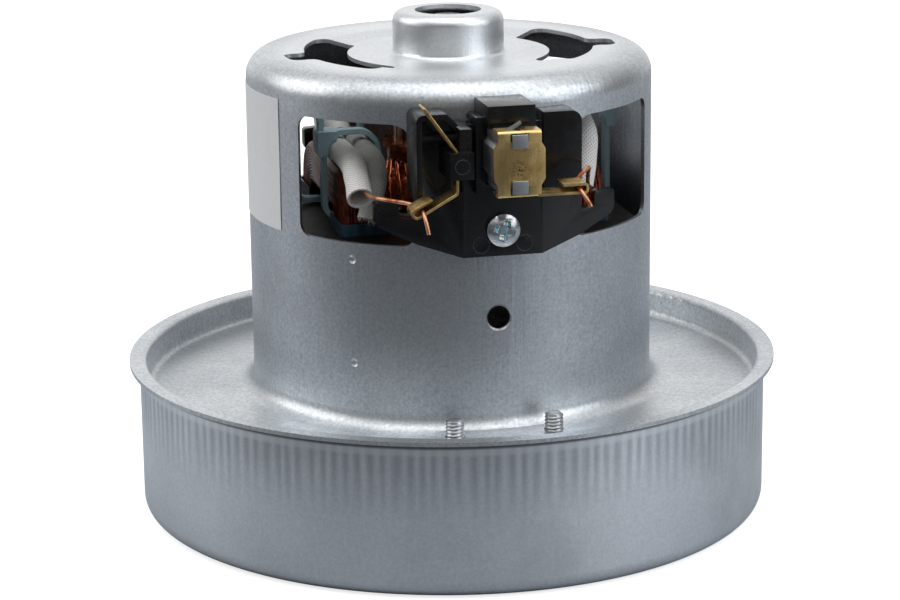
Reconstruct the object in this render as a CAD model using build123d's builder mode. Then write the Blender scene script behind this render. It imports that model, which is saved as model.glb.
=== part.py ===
from build123d import *
from math import cos, radians, sin, tan
import os

os.makedirs("parts", exist_ok=True)


def save(piece, name):
    """Label one finished piece and write it under the same name."""
    piece.label = name
    export_step(piece, f"parts/{name}.step")


def outward(azimuth, distance=0.0):
    """Plane that faces away from the shaft, with x to the right seen from outside and y up."""
    turn = radians(azimuth)
    return Plane(
        origin=(distance * sin(turn), -distance * cos(turn), 0),
        x_dir=(cos(turn), sin(turn), 0),
        z_dir=(sin(turn), -cos(turn), 0),
    )


def around(radius, azimuth):
    """Plan position at a radius and an azimuth, counted from the front towards the right."""
    turn = radians(azimuth)
    return (radius * sin(turn), -radius * cos(turn))


# The front brush looks along -Y and the rear brush is its copy, half a turn round the shaft.
half_turn = 180
full_turn = 360
hexagon_sides = 6
front = 0

# Sheet metal and common clearances
sheet = 0.8
cover_sheet = 0.7
overrun = 2.0
fit_gap = 0.02
press_gap = 0.05
seat_gap = 0.3

# Deep-drawn motor casing: radii and levels above the face that the unit rests on
unit_height = 103.7
boss_hole_radius = 6.8
boss_radius = 11.4
boss_edge_fillet = 2.0
boss_foot_fillet = 0.9
hub_radius = 22.5
hub_level = unit_height - 8.6
hub_ramp = 4.5
ramp_fillet = 3.0
casing_radius = 41.6
shoulder_level = unit_height - 7.7
shoulder_fillet = 4.8
foot_fillet = 3.4
flange_level = 26.2
well_radius = 63.9
well_fillet = 1.5
rim_radius = 67.5
rim_level = 32.2
rim_fillet = 1.0

# Openings in the casing wall
window_azimuth = 40.5
window_half_angle = 18.0
window_bottom = unit_height - 40.0
window_top = unit_height - 16.0
window_corner = 2.5
window_holder_corner = 4.5
brush_level = unit_height - 20.5
brush_slot_width = 12.6
brush_slot_height = 14.0
brush_slot_corner = 1.0
locating_hole_radius = 2.3
locating_hole_level = unit_height - 54.5
locating_hole_edge = 0.35
dimple_taper = 45
holder_screw_level = unit_height - 36.0
holder_screw_radius = 1.45
holder_screw_clearance = 0.06
dent_radius = 1.3
dent_depth = 0.35
dent_levels = (60.4, 39.4)

# Kidney-shaped air outlets in the casing top, with an ear on each
outlet_inner_radius = 20.7
outlet_outer_radius = 29.6
outlet_ear_radius = 34.4
outlet_start = 42
outlet_end = 126
outlet_ear_start = 77
outlet_ear_end = 91
outlet_corner = 2.0

# Pad pressed up from the flange for each pair of bridge screws
bridge_screw_radius = 1.9
bridge_screw_spacing = 20.0
bridge_screw_reach = 45.5
bridge_screw_tip = 30.4
bridge_screw_head_radius = 3.6
bridge_screw_head_height = 2.2
bridge_screw_point = 0.6
pad_length = 27.0
pad_width = 9.0
pad_rise = 0.7
pad_corner = 3.0
thread_clearance = 0.06

boss_ceiling = unit_height - sheet
flange_underside = flange_level - sheet
casing_bore = casing_radius - sheet
boss_bore = boss_radius - sheet
window_width = 2 * casing_radius * sin(radians(window_half_angle))
shoulder_ramp_radius = hub_radius + hub_ramp

with BuildPart() as motor_casing:
    with BuildSketch(Plane.XZ):
        with BuildLine():
            FilletPolyline(
                (boss_hole_radius, unit_height),
                (boss_radius, unit_height),
                (boss_radius, hub_level),
                (hub_radius, hub_level),
                (shoulder_ramp_radius, shoulder_level),
                (casing_radius, shoulder_level),
                (casing_radius, flange_level),
                (well_radius, flange_level),
                (well_radius, rim_level),
                (rim_radius, rim_level),
                radius=[
                    boss_edge_fillet,
                    boss_foot_fillet,
                    ramp_fillet,
                    ramp_fillet,
                    shoulder_fillet,
                    foot_fillet,
                    well_fillet,
                    rim_fillet,
                ],
            )
            offset(amount=sheet, side=Side.RIGHT)
        make_face()
    revolve(axis=Axis.Z)

    # Four windows, each with a wide corner at the top beside its brush holder
    for holder_azimuth in (front, half_turn):
        for side in (-1, 1):
            near = -side * window_width / 2
            far = side * window_width / 2
            with BuildSketch(outward(holder_azimuth + side * window_azimuth, casing_radius / 2)):
                with BuildLine():
                    FilletPolyline(
                        (near, window_bottom),
                        (far, window_bottom),
                        (far, window_top),
                        (near, window_top),
                        radius=[window_corner, window_corner, window_corner, window_holder_corner],
                        close=True,
                    )
                make_face()
            extrude(amount=casing_radius, mode=Mode.SUBTRACT)

        # Slot that each brush tube passes through, and the plain hole below it
        with BuildSketch(outward(holder_azimuth, casing_radius / 2)):
            with Locations((0, brush_level)):
                RectangleRounded(brush_slot_width, brush_slot_height, brush_slot_corner)
        extrude(amount=casing_radius, mode=Mode.SUBTRACT)
        with BuildSketch(outward(holder_azimuth, casing_radius / 2)):
            with Locations((0, locating_hole_level)):
                Circle(locating_hole_radius)
        extrude(amount=casing_radius, mode=Mode.SUBTRACT)
        with BuildSketch(outward(holder_azimuth, casing_radius - locating_hole_edge)):
            with Locations((0, locating_hole_level)):
                Circle(locating_hole_radius)
        extrude(amount=overrun, taper=-dimple_taper, mode=Mode.SUBTRACT)

        with BuildSketch(outward(holder_azimuth, casing_radius / 2)):
            with Locations((0, holder_screw_level)):
                Circle(holder_screw_radius + holder_screw_clearance)
        extrude(amount=casing_radius, mode=Mode.SUBTRACT)

        # Punch marks that hold the field core inside the wall
        for dent_level in dent_levels:
            dent_reach = casing_radius - dent_depth + dent_radius
            dent_x, dent_y = around(dent_reach, holder_azimuth - window_azimuth)
            with Locations((dent_x, dent_y, dent_level)):
                Sphere(dent_radius, mode=Mode.SUBTRACT)

    # Air outlets, mirrored across the shaft
    for side in (-1, 1):
        with BuildSketch(Plane.XY.offset(shoulder_level + overrun)):
            for inner, outer, start, end in (
                (outlet_inner_radius, outlet_outer_radius, outlet_start, outlet_end),
                (outlet_inner_radius, outlet_ear_radius, outlet_ear_start, outlet_ear_end),
            ):
                middle = side * (start + end) / 2
                with BuildLine():
                    Polyline(around(outer, side * start), around(inner, side * start))
                    ThreePointArc(
                        around(inner, side * start), around(inner, middle), around(inner, side * end)
                    )
                    Polyline(around(inner, side * end), around(outer, side * end))
                    ThreePointArc(
                        around(outer, side * end), around(outer, middle), around(outer, side * start)
                    )
                make_face()
            fillet(vertices(), outlet_corner)
        extrude(amount=-2 * overrun - sheet, mode=Mode.SUBTRACT)

    # Pads for the bridge screws, drilled through the flange
    for holder_azimuth in (front, half_turn):
        pad_x, pad_y = around(bridge_screw_reach, holder_azimuth)
        with BuildSketch(Plane.XY.offset(flange_level - sheet / 2)):
            with Locations((pad_x, pad_y)):
                RectangleRounded(pad_length, pad_width, pad_corner)
        extrude(amount=pad_rise + sheet / 2)
        with BuildSketch(Plane.XY.offset(flange_underside - overrun)):
            with Locations((pad_x, pad_y)):
                with GridLocations(bridge_screw_spacing, 0, 2, 1):
                    Circle(bridge_screw_radius + thread_clearance)
        extrude(amount=2 * overrun + pad_rise + sheet, mode=Mode.SUBTRACT)

save(motor_casing.part, "motor_casing")

# Fan cover: a drawn cup pressed over the turned-up edge of the flange, inlet at its centre
cover_fillet = 3.4
cover_rim_gap = 0.15
inlet_radius = 18.5
inlet_curl = 4.4
inlet_recess_radius = 29.0
inlet_recess_depth = 1.2
recess_ramp = 1.5
inlet_fillet = 1.2

cover_bore = well_radius + sheet + press_gap
cover_radius = cover_bore + cover_sheet
cover_top = rim_level - sheet - cover_rim_gap
curl_radius = inlet_radius + cover_sheet

with BuildPart() as fan_cover:
    with BuildSketch(Plane.XZ):
        with BuildLine():
            FilletPolyline(
                (cover_radius, cover_top),
                (cover_radius, 0),
                (inlet_recess_radius + recess_ramp, 0),
                (inlet_recess_radius, inlet_recess_depth),
                (inlet_radius, inlet_recess_depth),
                (inlet_radius, inlet_curl),
                radius=[cover_fillet, inlet_fillet, inlet_fillet, inlet_fillet],
            )
            offset(amount=cover_sheet, side=Side.RIGHT)
        make_face()
    revolve(axis=Axis.Z)
save(fan_cover.part, "fan_cover")

# Steel bridge across the casing mouth, with the drawn cup that holds the lower bearing
bridge_sheet = 1.6
bridge_width = 30.0
bridge_end = 4.5
bridge_corner = 6.0
bridge_disc_radius = 21.0
lower_bearing_radius = 11.0
lower_bearing_width = 7.0
lower_bearing_bore = 4.0
bridge_cup_lip = 8.2
bridge_cup_fillet = 1.0
bridge_cup_depth = 7.3

bridge_underside = flange_underside - bridge_sheet
bridge_length = 2 * (bridge_screw_reach + bridge_end)
cup_bore = lower_bearing_radius + fit_gap
cup_radius = cup_bore + bridge_sheet
cup_seat = flange_underside - bridge_cup_depth
cup_underside = cup_seat - bridge_sheet / 2

with BuildPart() as bearing_bridge:
    with BuildSketch(Plane.XY.offset(bridge_underside)):
        RectangleRounded(bridge_width, bridge_length, bridge_corner)
        Circle(bridge_disc_radius)
        with GridLocations(bridge_screw_spacing, 2 * bridge_screw_reach, 2, 2):
            Circle(bridge_screw_radius + thread_clearance, mode=Mode.SUBTRACT)
    extrude(amount=bridge_sheet)
    with BuildSketch(Plane.XY.offset(cup_underside)):
        Circle(cup_radius)
    extrude(amount=bridge_underside - cup_underside)
    fillet(
        bearing_bridge.edges().filter_by(GeomType.CIRCLE).group_by(Axis.Z)[0], bridge_cup_fillet
    )
    with BuildSketch(Plane.XY.offset(cup_seat)):
        Circle(cup_bore)
    extrude(amount=bridge_cup_depth + overrun, mode=Mode.SUBTRACT)
    with BuildSketch(Plane.XY.offset(cup_underside - overrun)):
        Circle(bridge_cup_lip)
    extrude(amount=bridge_cup_depth, mode=Mode.SUBTRACT)
save(bearing_bridge.part, "bearing_bridge")

screw_head_bottom = bridge_underside - bridge_screw_head_height

with BuildPart() as bridge_screws:
    with BuildSketch(Plane.XY.offset(screw_head_bottom)):
        with GridLocations(bridge_screw_spacing, 2 * bridge_screw_reach, 2, 2):
            Circle(bridge_screw_head_radius)
    extrude(amount=bridge_screw_head_height)
    with BuildSketch(Plane.XY.offset(bridge_underside)):
        with GridLocations(bridge_screw_spacing, 2 * bridge_screw_reach, 2, 2):
            Circle(bridge_screw_radius)
    extrude(amount=bridge_screw_tip - bridge_underside)
    chamfer(
        bridge_screws.edges().filter_by(GeomType.CIRCLE).group_by(Axis.Z)[-1], bridge_screw_point
    )
save(bridge_screws.part, "bridge_screws")

# Impeller of pressed aluminium: shroud with a curled eye, swept blades and a back plate
impeller_radius = 54.0
impeller_sheet = 0.6
back_plate_sheet = 0.8
shroud_level = 6.4
blade_height = 7.0
blade_count = 9
blade_inner_radius = 25.0
blade_sheet = 0.7
blade_sweep = 62
blade_belly_share = 0.47
blade_bow_share = 0.62
eye_gap = 0.8
eye_bottom = 3.3
eye_fillet = 2.4

blade_bottom = shroud_level + impeller_sheet
blade_top = blade_bottom + blade_height
back_plate_top = blade_top + back_plate_sheet
eye_radius = curl_radius + eye_gap
blade_outer_radius = impeller_radius - impeller_sheet
blade_belly_radius = blade_inner_radius + blade_belly_share * (
    blade_outer_radius - blade_inner_radius
)

with BuildPart() as impeller_shroud:
    with BuildSketch(Plane.XZ):
        with BuildLine():
            FilletPolyline(
                (eye_radius, eye_bottom),
                (eye_radius, blade_bottom),
                (impeller_radius, blade_bottom),
                radius=[eye_fillet],
            )
            offset(amount=impeller_sheet, side=Side.RIGHT)
        make_face()
    revolve(axis=Axis.Z)
save(impeller_shroud.part, "impeller_shroud")

with BuildSketch() as blade_outline:
    with BuildLine() as blade_arc:
        ThreePointArc(
            around(blade_inner_radius, 0),
            around(blade_belly_radius, blade_bow_share * blade_sweep),
            around(blade_outer_radius, blade_sweep),
        )
    trace(blade_arc.line, blade_sheet)

with BuildPart() as impeller_blades:
    with BuildSketch(Plane.XY.offset(blade_bottom)):
        with PolarLocations(0, blade_count):
            add(blade_outline.sketch)
    extrude(amount=blade_height)
save(impeller_blades.part, "impeller_blades")

# Diffuser moulding: guide vanes round the impeller and return vanes above the disc
diffuser_disc = 1.2
diffuser_disc_radius = 57.5
diffuser_bore = 9.5
diffuser_gap = 0.8
guide_vane_count = 15
guide_vane_bottom = 5.0
guide_vane_sheet = 1.2
guide_vane_start = 55.6
guide_vane_sweep = 20
return_vane_inner = 24.0
return_vane_sweep = 58
vane_wall_gap = 1.1
vane_belly_share = 0.5
vane_bow_share = 0.44

disc_bottom = back_plate_top + diffuser_gap
vane_top = flange_underside - press_gap
vane_outer_radius = cover_bore - vane_wall_gap
guide_belly_radius = guide_vane_start + vane_belly_share * (vane_outer_radius - guide_vane_start)
return_belly_radius = return_vane_inner + vane_belly_share * (
    diffuser_disc_radius - return_vane_inner
)

with BuildSketch() as guide_vane:
    with BuildLine() as guide_arc:
        ThreePointArc(
            around(guide_vane_start, 0),
            around(guide_belly_radius, vane_bow_share * guide_vane_sweep),
            around(vane_outer_radius, guide_vane_sweep),
        )
    trace(guide_arc.line, guide_vane_sheet)

with BuildSketch() as return_vane:
    with BuildLine() as return_arc:
        ThreePointArc(
            around(diffuser_disc_radius, 0),
            around(return_belly_radius, vane_bow_share * return_vane_sweep),
            around(return_vane_inner, return_vane_sweep),
        )
    trace(return_arc.line, guide_vane_sheet)

with BuildPart() as diffuser:
    with BuildSketch(Plane.XY.offset(disc_bottom)):
        Circle(diffuser_disc_radius)
        Circle(diffuser_bore, mode=Mode.SUBTRACT)
    extrude(amount=diffuser_disc)
    with BuildSketch(Plane.XY.offset(guide_vane_bottom)):
        with PolarLocations(0, guide_vane_count):
            add(guide_vane.sketch)
    extrude(amount=vane_top - guide_vane_bottom)
    with BuildSketch(Plane.XY.offset(disc_bottom)):
        with PolarLocations(0, guide_vane_count):
            add(return_vane.sketch)
    extrude(amount=vane_top - disc_bottom)
    with BuildSketch(Plane.XY.offset(bridge_underside - seat_gap)):
        RectangleRounded(
            bridge_width + 2 * seat_gap, bridge_length + 2 * seat_gap, bridge_corner
        )
        Circle(bridge_disc_radius + seat_gap)
    extrude(amount=2 * bridge_sheet, mode=Mode.SUBTRACT)
    with BuildSketch(Plane.XY.offset(screw_head_bottom - seat_gap)):
        with GridLocations(bridge_screw_spacing, 2 * bridge_screw_reach, 2, 2):
            Circle(bridge_screw_head_radius + seat_gap)
    extrude(amount=2 * bridge_sheet, mode=Mode.SUBTRACT)
save(diffuser.part, "diffuser")

# Shaft with its steps, from the impeller nut up to the casing boss
shaft_bottom = 5.0
shaft_body_radius = 5.0
upper_bearing_bore = 3.5
upper_bearing_radius = 9.5
upper_bearing_width = 6.0
upper_bearing_bottom = unit_height - 8.2
shaft_top = unit_height - 1.1
shaft_chamfer = 0.5

lower_bearing_top = cup_seat + lower_bearing_width
lower_journal = lower_bearing_bore - fit_gap
upper_journal = upper_bearing_bore - fit_gap

with BuildPart() as shaft:
    with BuildSketch(Plane.XY.offset(shaft_bottom)):
        Circle(lower_journal)
    extrude(amount=lower_bearing_top - shaft_bottom)
    with BuildSketch(Plane.XY.offset(lower_bearing_top)):
        Circle(shaft_body_radius)
    extrude(amount=upper_bearing_bottom - lower_bearing_top)
    with BuildSketch(Plane.XY.offset(upper_bearing_bottom)):
        Circle(upper_journal)
    extrude(amount=shaft_top - upper_bearing_bottom)
    shaft_rims = shaft.edges().filter_by(GeomType.CIRCLE)
    chamfer(shaft_rims.group_by(Axis.Z)[0] + shaft_rims.group_by(Axis.Z)[-1], shaft_chamfer)
save(shaft.part, "shaft")

with BuildPart() as impeller_back_plate:
    with BuildSketch(Plane.XY.offset(blade_top)):
        Circle(impeller_radius)
        Circle(lower_bearing_bore, mode=Mode.SUBTRACT)
    extrude(amount=back_plate_sheet)
save(impeller_back_plate.part, "impeller_back_plate")

# Spacer, dished washer and nut that clamp the impeller on the shaft
spacer_radius = 6.2
clamp_washer_radius = 10.0
clamp_washer_sheet = 1.2
clamp_washer_edge = 0.5
nut_width = 13.0
nut_height = 5.0

with BuildPart() as impeller_spacer:
    with BuildSketch(Plane.XY.offset(back_plate_top)):
        Circle(spacer_radius)
        Circle(lower_bearing_bore, mode=Mode.SUBTRACT)
    extrude(amount=cup_seat - back_plate_top)
save(impeller_spacer.part, "impeller_spacer")

washer_bottom = blade_top - clamp_washer_sheet
nut_bottom = washer_bottom - nut_height

with BuildPart() as impeller_washer:
    with BuildSketch(Plane.XY.offset(washer_bottom)):
        Circle(clamp_washer_radius)
        Circle(lower_bearing_bore, mode=Mode.SUBTRACT)
    extrude(amount=clamp_washer_sheet)
    chamfer(
        impeller_washer.edges().filter_by(GeomType.CIRCLE).sort_by(SortBy.RADIUS)[-1],
        clamp_washer_edge,
    )
save(impeller_washer.part, "impeller_washer")

with BuildPart() as impeller_nut:
    with BuildSketch(Plane.XY.offset(nut_bottom)):
        RegularPolygon(nut_width / 2, hexagon_sides, major_radius=False)
        Circle(lower_bearing_bore, mode=Mode.SUBTRACT)
    extrude(amount=nut_height)
save(impeller_nut.part, "impeller_nut")

# Ball bearings: one loop makes both, each with rings, balls, crown cage and two shields
ball_share = 0.285
inner_land_share = 0.33
outer_land_share = 0.70
race_clearance = 0.04
cage_height_share = 0.80
cage_foot_share = 0.15
cage_width_share = 0.80
cage_pocket_gap = 0.10
shield_sheet = 0.25
shield_inset = 0.20
shield_gap = 0.30
ball_count = 7

for name, bore, outside, width, bottom in (
    (
        "lower_bearing",
        lower_bearing_bore,
        lower_bearing_radius,
        lower_bearing_width,
        cup_seat,
    ),
    (
        "upper_bearing",
        upper_bearing_bore,
        upper_bearing_radius,
        upper_bearing_width,
        upper_bearing_bottom,
    ),
):
    wall = outside - bore
    pitch_radius = (bore + outside) / 2
    ball_radius = ball_share * wall
    inner_land = bore + inner_land_share * wall
    outer_land = bore + outer_land_share * wall
    middle_plane = Plane.XY.offset(bottom + width / 2)

    with BuildPart() as race_torus:
        with BuildSketch(Plane.XZ):
            with Locations((pitch_radius, bottom + width / 2)):
                Circle(ball_radius + race_clearance)
        revolve(axis=Axis.Z)

    with BuildPart() as inner_ring:
        with BuildSketch(Plane.XY.offset(bottom)):
            Circle(inner_land)
            Circle(bore, mode=Mode.SUBTRACT)
        extrude(amount=width)
        add(race_torus.part, mode=Mode.SUBTRACT)
    save(inner_ring.part, f"{name}_inner_ring")

    with BuildPart() as outer_ring:
        with BuildSketch(Plane.XY.offset(bottom)):
            Circle(outside)
            Circle(outer_land, mode=Mode.SUBTRACT)
        extrude(amount=width)
        add(race_torus.part, mode=Mode.SUBTRACT)
    save(outer_ring.part, f"{name}_outer_ring")

    with BuildPart() as balls:
        with Locations(middle_plane):
            with PolarLocations(pitch_radius, ball_count):
                Sphere(ball_radius)
    save(balls.part, f"{name}_balls")

    cage_half = cage_width_share * (outer_land - inner_land) / 2
    cage_top = cage_height_share * width / 2
    cage_foot = cage_foot_share * width / 2
    with BuildPart() as cage:
        with BuildSketch(middle_plane.offset(cage_foot)):
            Circle(pitch_radius + cage_half)
            Circle(pitch_radius - cage_half, mode=Mode.SUBTRACT)
        extrude(amount=cage_top - cage_foot)
        with Locations(middle_plane):
            with PolarLocations(pitch_radius, ball_count):
                Sphere(ball_radius + cage_pocket_gap, mode=Mode.SUBTRACT)
    save(cage.part, f"{name}_cage")

    shield_low = bottom + shield_inset
    shield_high = bottom + width - shield_inset - shield_sheet
    with BuildPart() as shields:
        for shield_level in (shield_low, shield_high):
            with BuildSketch(Plane.XY.offset(shield_level)):
                Circle(outer_land)
                Circle(inner_land + shield_gap, mode=Mode.SUBTRACT)
            extrude(amount=shield_sheet)
    save(shields.part, f"{name}_shields")

# Rubber sleeve and dished spring washer that hold the upper bearing in the boss
sleeve_overlap = 0.3
preload_washer_sheet = 0.35
preload_washer_inner = 7.4

upper_bearing_top = upper_bearing_bottom + upper_bearing_width
preload_foot_radius = upper_bearing_radius - preload_washer_sheet

with BuildPart() as bearing_sleeve:
    with BuildSketch(Plane.XY.offset(upper_bearing_bottom - sleeve_overlap)):
        Circle(boss_bore - press_gap)
        Circle(upper_bearing_radius + fit_gap, mode=Mode.SUBTRACT)
    extrude(amount=upper_bearing_width + 2 * sleeve_overlap)
    chamfer(
        bearing_sleeve.edges()
        .filter_by(GeomType.CIRCLE)
        .group_by(Axis.Z)[-1]
        .sort_by(SortBy.RADIUS)[-1],
        sleeve_overlap,
    )
save(bearing_sleeve.part, "bearing_sleeve")

with BuildPart() as preload_washer:
    with BuildSketch(Plane.XZ):
        with BuildLine():
            Line(
                (preload_washer_inner, boss_ceiling - fit_gap),
                (preload_foot_radius, upper_bearing_top + preload_washer_sheet + fit_gap),
            )
            offset(amount=preload_washer_sheet, side=Side.RIGHT)
        make_face()
    revolve(axis=Axis.Z)
save(preload_washer.part, "preload_washer")

# Field core: stamped laminations with two poles left and right, corners in the casing bore
core_bottom = 38.0
core_top = unit_height - 40.7
core_half_width = 33.5
core_half_depth = 33.0
armature_radius = 16.9
air_gap = 0.6
pole_shoe_sheet = 2.9
pole_shoe_angle = 58
slot_reach = 27.6
slot_inner = 11.4
slot_outer = 23.8

pole_bore = armature_radius + air_gap
shoe_radius = pole_bore + pole_shoe_sheet
core_length = core_top - core_bottom
slot_width = slot_outer - slot_inner

with BuildPart() as stator_core:
    with BuildSketch(Plane.XY.offset(core_bottom)):
        Circle(casing_bore - fit_gap)
        Rectangle(2 * core_half_width, 2 * core_half_depth, mode=Mode.INTERSECT)
        with GridLocations(0, slot_inner + slot_outer, 1, 2):
            Rectangle(2 * slot_reach, slot_width, mode=Mode.SUBTRACT)
        for pole_azimuth in (-half_turn / 2, half_turn / 2):
            start = pole_azimuth - pole_shoe_angle
            end = pole_azimuth + pole_shoe_angle
            with BuildLine():
                Line(around(pole_bore / 2, start), around(shoe_radius, start))
                ThreePointArc(
                    around(shoe_radius, start),
                    around(shoe_radius, pole_azimuth),
                    around(shoe_radius, end),
                )
                Line(around(shoe_radius, end), around(pole_bore / 2, end))
                Line(around(pole_bore / 2, end), around(pole_bore / 2, start))
            make_face()
        Circle(pole_bore, mode=Mode.SUBTRACT)
    extrude(amount=core_length)
save(stator_core.part, "stator_core")

# Slot liners: folded blue insulating film, standing proud of the core at both ends
liner_sheet = 0.3
liner_stand = 2.4
liner_low_stand = 2.4
liner_corner = 1.0
coil_side_gap = 0.15

liner_outer_reach = slot_reach - fit_gap
liner_inner_reach = shoe_radius - pole_shoe_sheet
liner_front = slot_outer - fit_gap

with BuildSketch() as liner_outline:
    with BuildLine() as liner_path:
        FilletPolyline(
            (liner_inner_reach, -slot_inner - liner_sheet - coil_side_gap),
            (liner_inner_reach, -liner_front),
            (liner_outer_reach, -liner_front),
            (liner_outer_reach, -slot_inner - liner_sheet - coil_side_gap),
            radius=[liner_corner, liner_corner],
        )
        offset(amount=liner_sheet, side=Side.LEFT)
    make_face()

with BuildPart() as slot_liners_right:
    with BuildSketch(Plane.XY.offset(core_bottom - liner_low_stand)):
        add(liner_outline.sketch)
        mirror(liner_outline.sketch, about=Plane.XZ)
    extrude(amount=core_length + liner_stand + liner_low_stand)
save(slot_liners_right.part, "slot_liners_right")
save(slot_liners_right.part.rotate(Axis.Z, half_turn), "slot_liners_left")

# Field coils: a wound bundle round each pole, with its outer layer of enamelled wire
coil_inner_rise = 3.4
coil_end_depth = 8.4
coil_inner_corner = 2.5
coil_outer_corner = 8.0
coil_side_inner = 11.8
field_wire_radius = 0.40
field_wire_pitch = 1.30
field_turns = 7
wire_lay_gap = 0.10
coil_pole_gap = 0.25

coil_near = liner_inner_reach + liner_sheet + coil_pole_gap
coil_far = liner_outer_reach - liner_sheet - coil_pole_gap
wire_wrap = 2 * field_wire_radius + wire_lay_gap
coil_hole_half = (core_length + 2 * coil_inner_rise) / 2
coil_middle = (core_bottom + core_top) / 2
bundle_half_height = coil_hole_half + coil_end_depth - wire_wrap
bundle_half_width = liner_front - liner_sheet - coil_pole_gap - wire_wrap
wrap_half_height = bundle_half_height + wire_lay_gap + field_wire_radius
wrap_half_width = bundle_half_width + wire_lay_gap + field_wire_radius
wrap_corner = coil_outer_corner + wire_lay_gap + field_wire_radius
field_turn_span = (field_turns - 1) * field_wire_pitch
first_turn = (coil_near + coil_far - field_turn_span) / 2

wrap_low = coil_middle - wrap_half_height
wrap_high = coil_middle + wrap_half_height

turn_points = [(first_turn, -wrap_half_width, coil_middle)]
for turn in range(field_turns):
    turn_x = first_turn + turn * field_wire_pitch
    if turn > 0:
        turn_points.append((turn_x - field_wire_pitch, wrap_half_width, wrap_low))
        turn_points.append((turn_x, -wrap_half_width, wrap_low))
    turn_points.append((turn_x, -wrap_half_width, wrap_high))
    turn_points.append((turn_x, wrap_half_width, wrap_high))
turn_points.append((first_turn + field_turn_span, wrap_half_width, coil_middle))

with BuildPart() as field_coil_right:
    with BuildSketch(Plane.YZ.offset(coil_near)):
        with Locations((0, coil_middle)):
            RectangleRounded(2 * bundle_half_width, 2 * bundle_half_height, coil_outer_corner)
            RectangleRounded(
                2 * coil_side_inner, 2 * coil_hole_half, coil_inner_corner, mode=Mode.SUBTRACT
            )
    extrude(amount=coil_far - coil_near)
    with BuildLine() as field_wire_path:
        FilletPolyline(*turn_points, radius=wrap_corner)
    with BuildSketch(Plane(origin=turn_points[0], z_dir=(0, 0, 1))):
        RegularPolygon(field_wire_radius, hexagon_sides)
    sweep(path=field_wire_path.wire())
save(field_coil_right.part, "field_coil_right")
save(field_coil_right.part.rotate(Axis.Z, half_turn), "field_coil_left")


def least_gap(path, samples, skip, thickness):
    """Least gap between stretches of one tube that lie more than skip samples apart."""
    points = [path.position_at(step / samples) for step in range(samples + 1)]
    closest = min(
        (points[i] - points[j]).length
        for i in range(0, samples + 1)
        for j in range(i + skip, samples + 1)
    )
    return closest - thickness


gap_samples = 720
field_wire_gap = least_gap(
    field_wire_path.wire(), gap_samples, gap_samples // (2 * field_turns), 2 * field_wire_radius
)
print(f"field wire: {field_turns} turns, least gap to itself {field_wire_gap:.2f} mm")

# Armature: slotted laminations, fibre end discs and the winding with its fan of leads
armature_slots = 12
armature_slot_floor = 9.0
armature_slot_crown = 15.2
armature_slot_floor_width = 2.6
armature_slot_crown_width = 5.0
armature_slot_mouth = 2.0
end_disc_sheet = 0.8
winding_slot_gap = 0.2
winding_top = unit_height - 31.1
winding_bottom = 29.4
winding_core_radius = 6.6
winding_shoulder_radius = 11.4
winding_belly_radius = 15.8
winding_edge_fillet = 2.6
lead_radius = 0.55
lead_sides = 5
lead_count = 24
lead_foot_radius = 15.2
lead_foot_level = unit_height - 37.3
lead_skew = 22

riser_bottom = unit_height - 29.8
riser_top = unit_height - 26.7
riser_radius = 12.9


def slot_shape(shrink):
    """Outline of one armature slot behind its mouth, drawn on the front of the core."""
    floor_half = armature_slot_floor_width / 2 - shrink
    crown_half = armature_slot_crown_width / 2 - shrink
    low = armature_slot_floor + shrink
    high = armature_slot_crown - shrink
    return Polyline(
        (-floor_half, -low), (-crown_half, -high), (crown_half, -high), (floor_half, -low), close=True
    )


with BuildSketch() as armature_slot:
    with BuildLine():
        slot_shape(0)
    make_face()
    with Locations((0, -armature_slot_crown)):
        Rectangle(armature_slot_mouth, armature_slot_crown - armature_slot_floor)

with BuildSketch() as armature_fill:
    with BuildLine():
        slot_shape(winding_slot_gap)
    make_face()

with BuildSketch() as armature_disc:
    Circle(armature_radius)
    Circle(shaft_body_radius + fit_gap, mode=Mode.SUBTRACT)
    with PolarLocations(0, armature_slots):
        add(armature_slot.sketch, mode=Mode.SUBTRACT)

with BuildPart() as armature_core:
    with BuildSketch(Plane.XY.offset(core_bottom)):
        add(armature_disc.sketch)
    extrude(amount=core_length)
save(armature_core.part, "armature_core")

with BuildPart() as armature_end_discs:
    for disc_level in (core_bottom - end_disc_sheet, core_top):
        with BuildSketch(Plane.XY.offset(disc_level)):
            add(armature_disc.sketch)
        extrude(amount=end_disc_sheet)
save(armature_end_discs.part, "armature_end_discs")

upper_disc_face = core_top + end_disc_sheet
lower_disc_face = core_bottom - end_disc_sheet

with BuildPart() as armature_winding:
    with BuildSketch(Plane.XY.offset(lower_disc_face)):
        with PolarLocations(0, armature_slots):
            add(armature_fill.sketch)
    extrude(amount=upper_disc_face - lower_disc_face)
    for face_level, end_level in ((upper_disc_face, winding_top), (lower_disc_face, winding_bottom)):
        with BuildSketch(Plane.XZ):
            with BuildLine():
                FilletPolyline(
                    (winding_core_radius, face_level),
                    (winding_belly_radius, face_level),
                    (winding_belly_radius, (face_level + end_level) / 2),
                    (winding_shoulder_radius, end_level),
                    (winding_core_radius, end_level),
                    radius=[0, 0, winding_edge_fillet, winding_edge_fillet, 0],
                    close=True,
                )
            make_face()
        revolve(axis=Axis.Z)
    for lead in range(lead_count):
        lead_azimuth = full_turn * lead / lead_count
        hook_x, hook_y = around(riser_radius - lead_radius, lead_azimuth)
        foot_x, foot_y = around(lead_foot_radius, lead_azimuth + lead_skew)
        hook = Vector(hook_x, hook_y, riser_bottom - lead_radius)
        foot = Vector(foot_x, foot_y, lead_foot_level)
        with BuildSketch(Plane(origin=foot, z_dir=hook - foot)):
            RegularPolygon(lead_radius, lead_sides)
        extrude(amount=(hook - foot).length)
save(armature_winding.part, "armature_winding")

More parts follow.
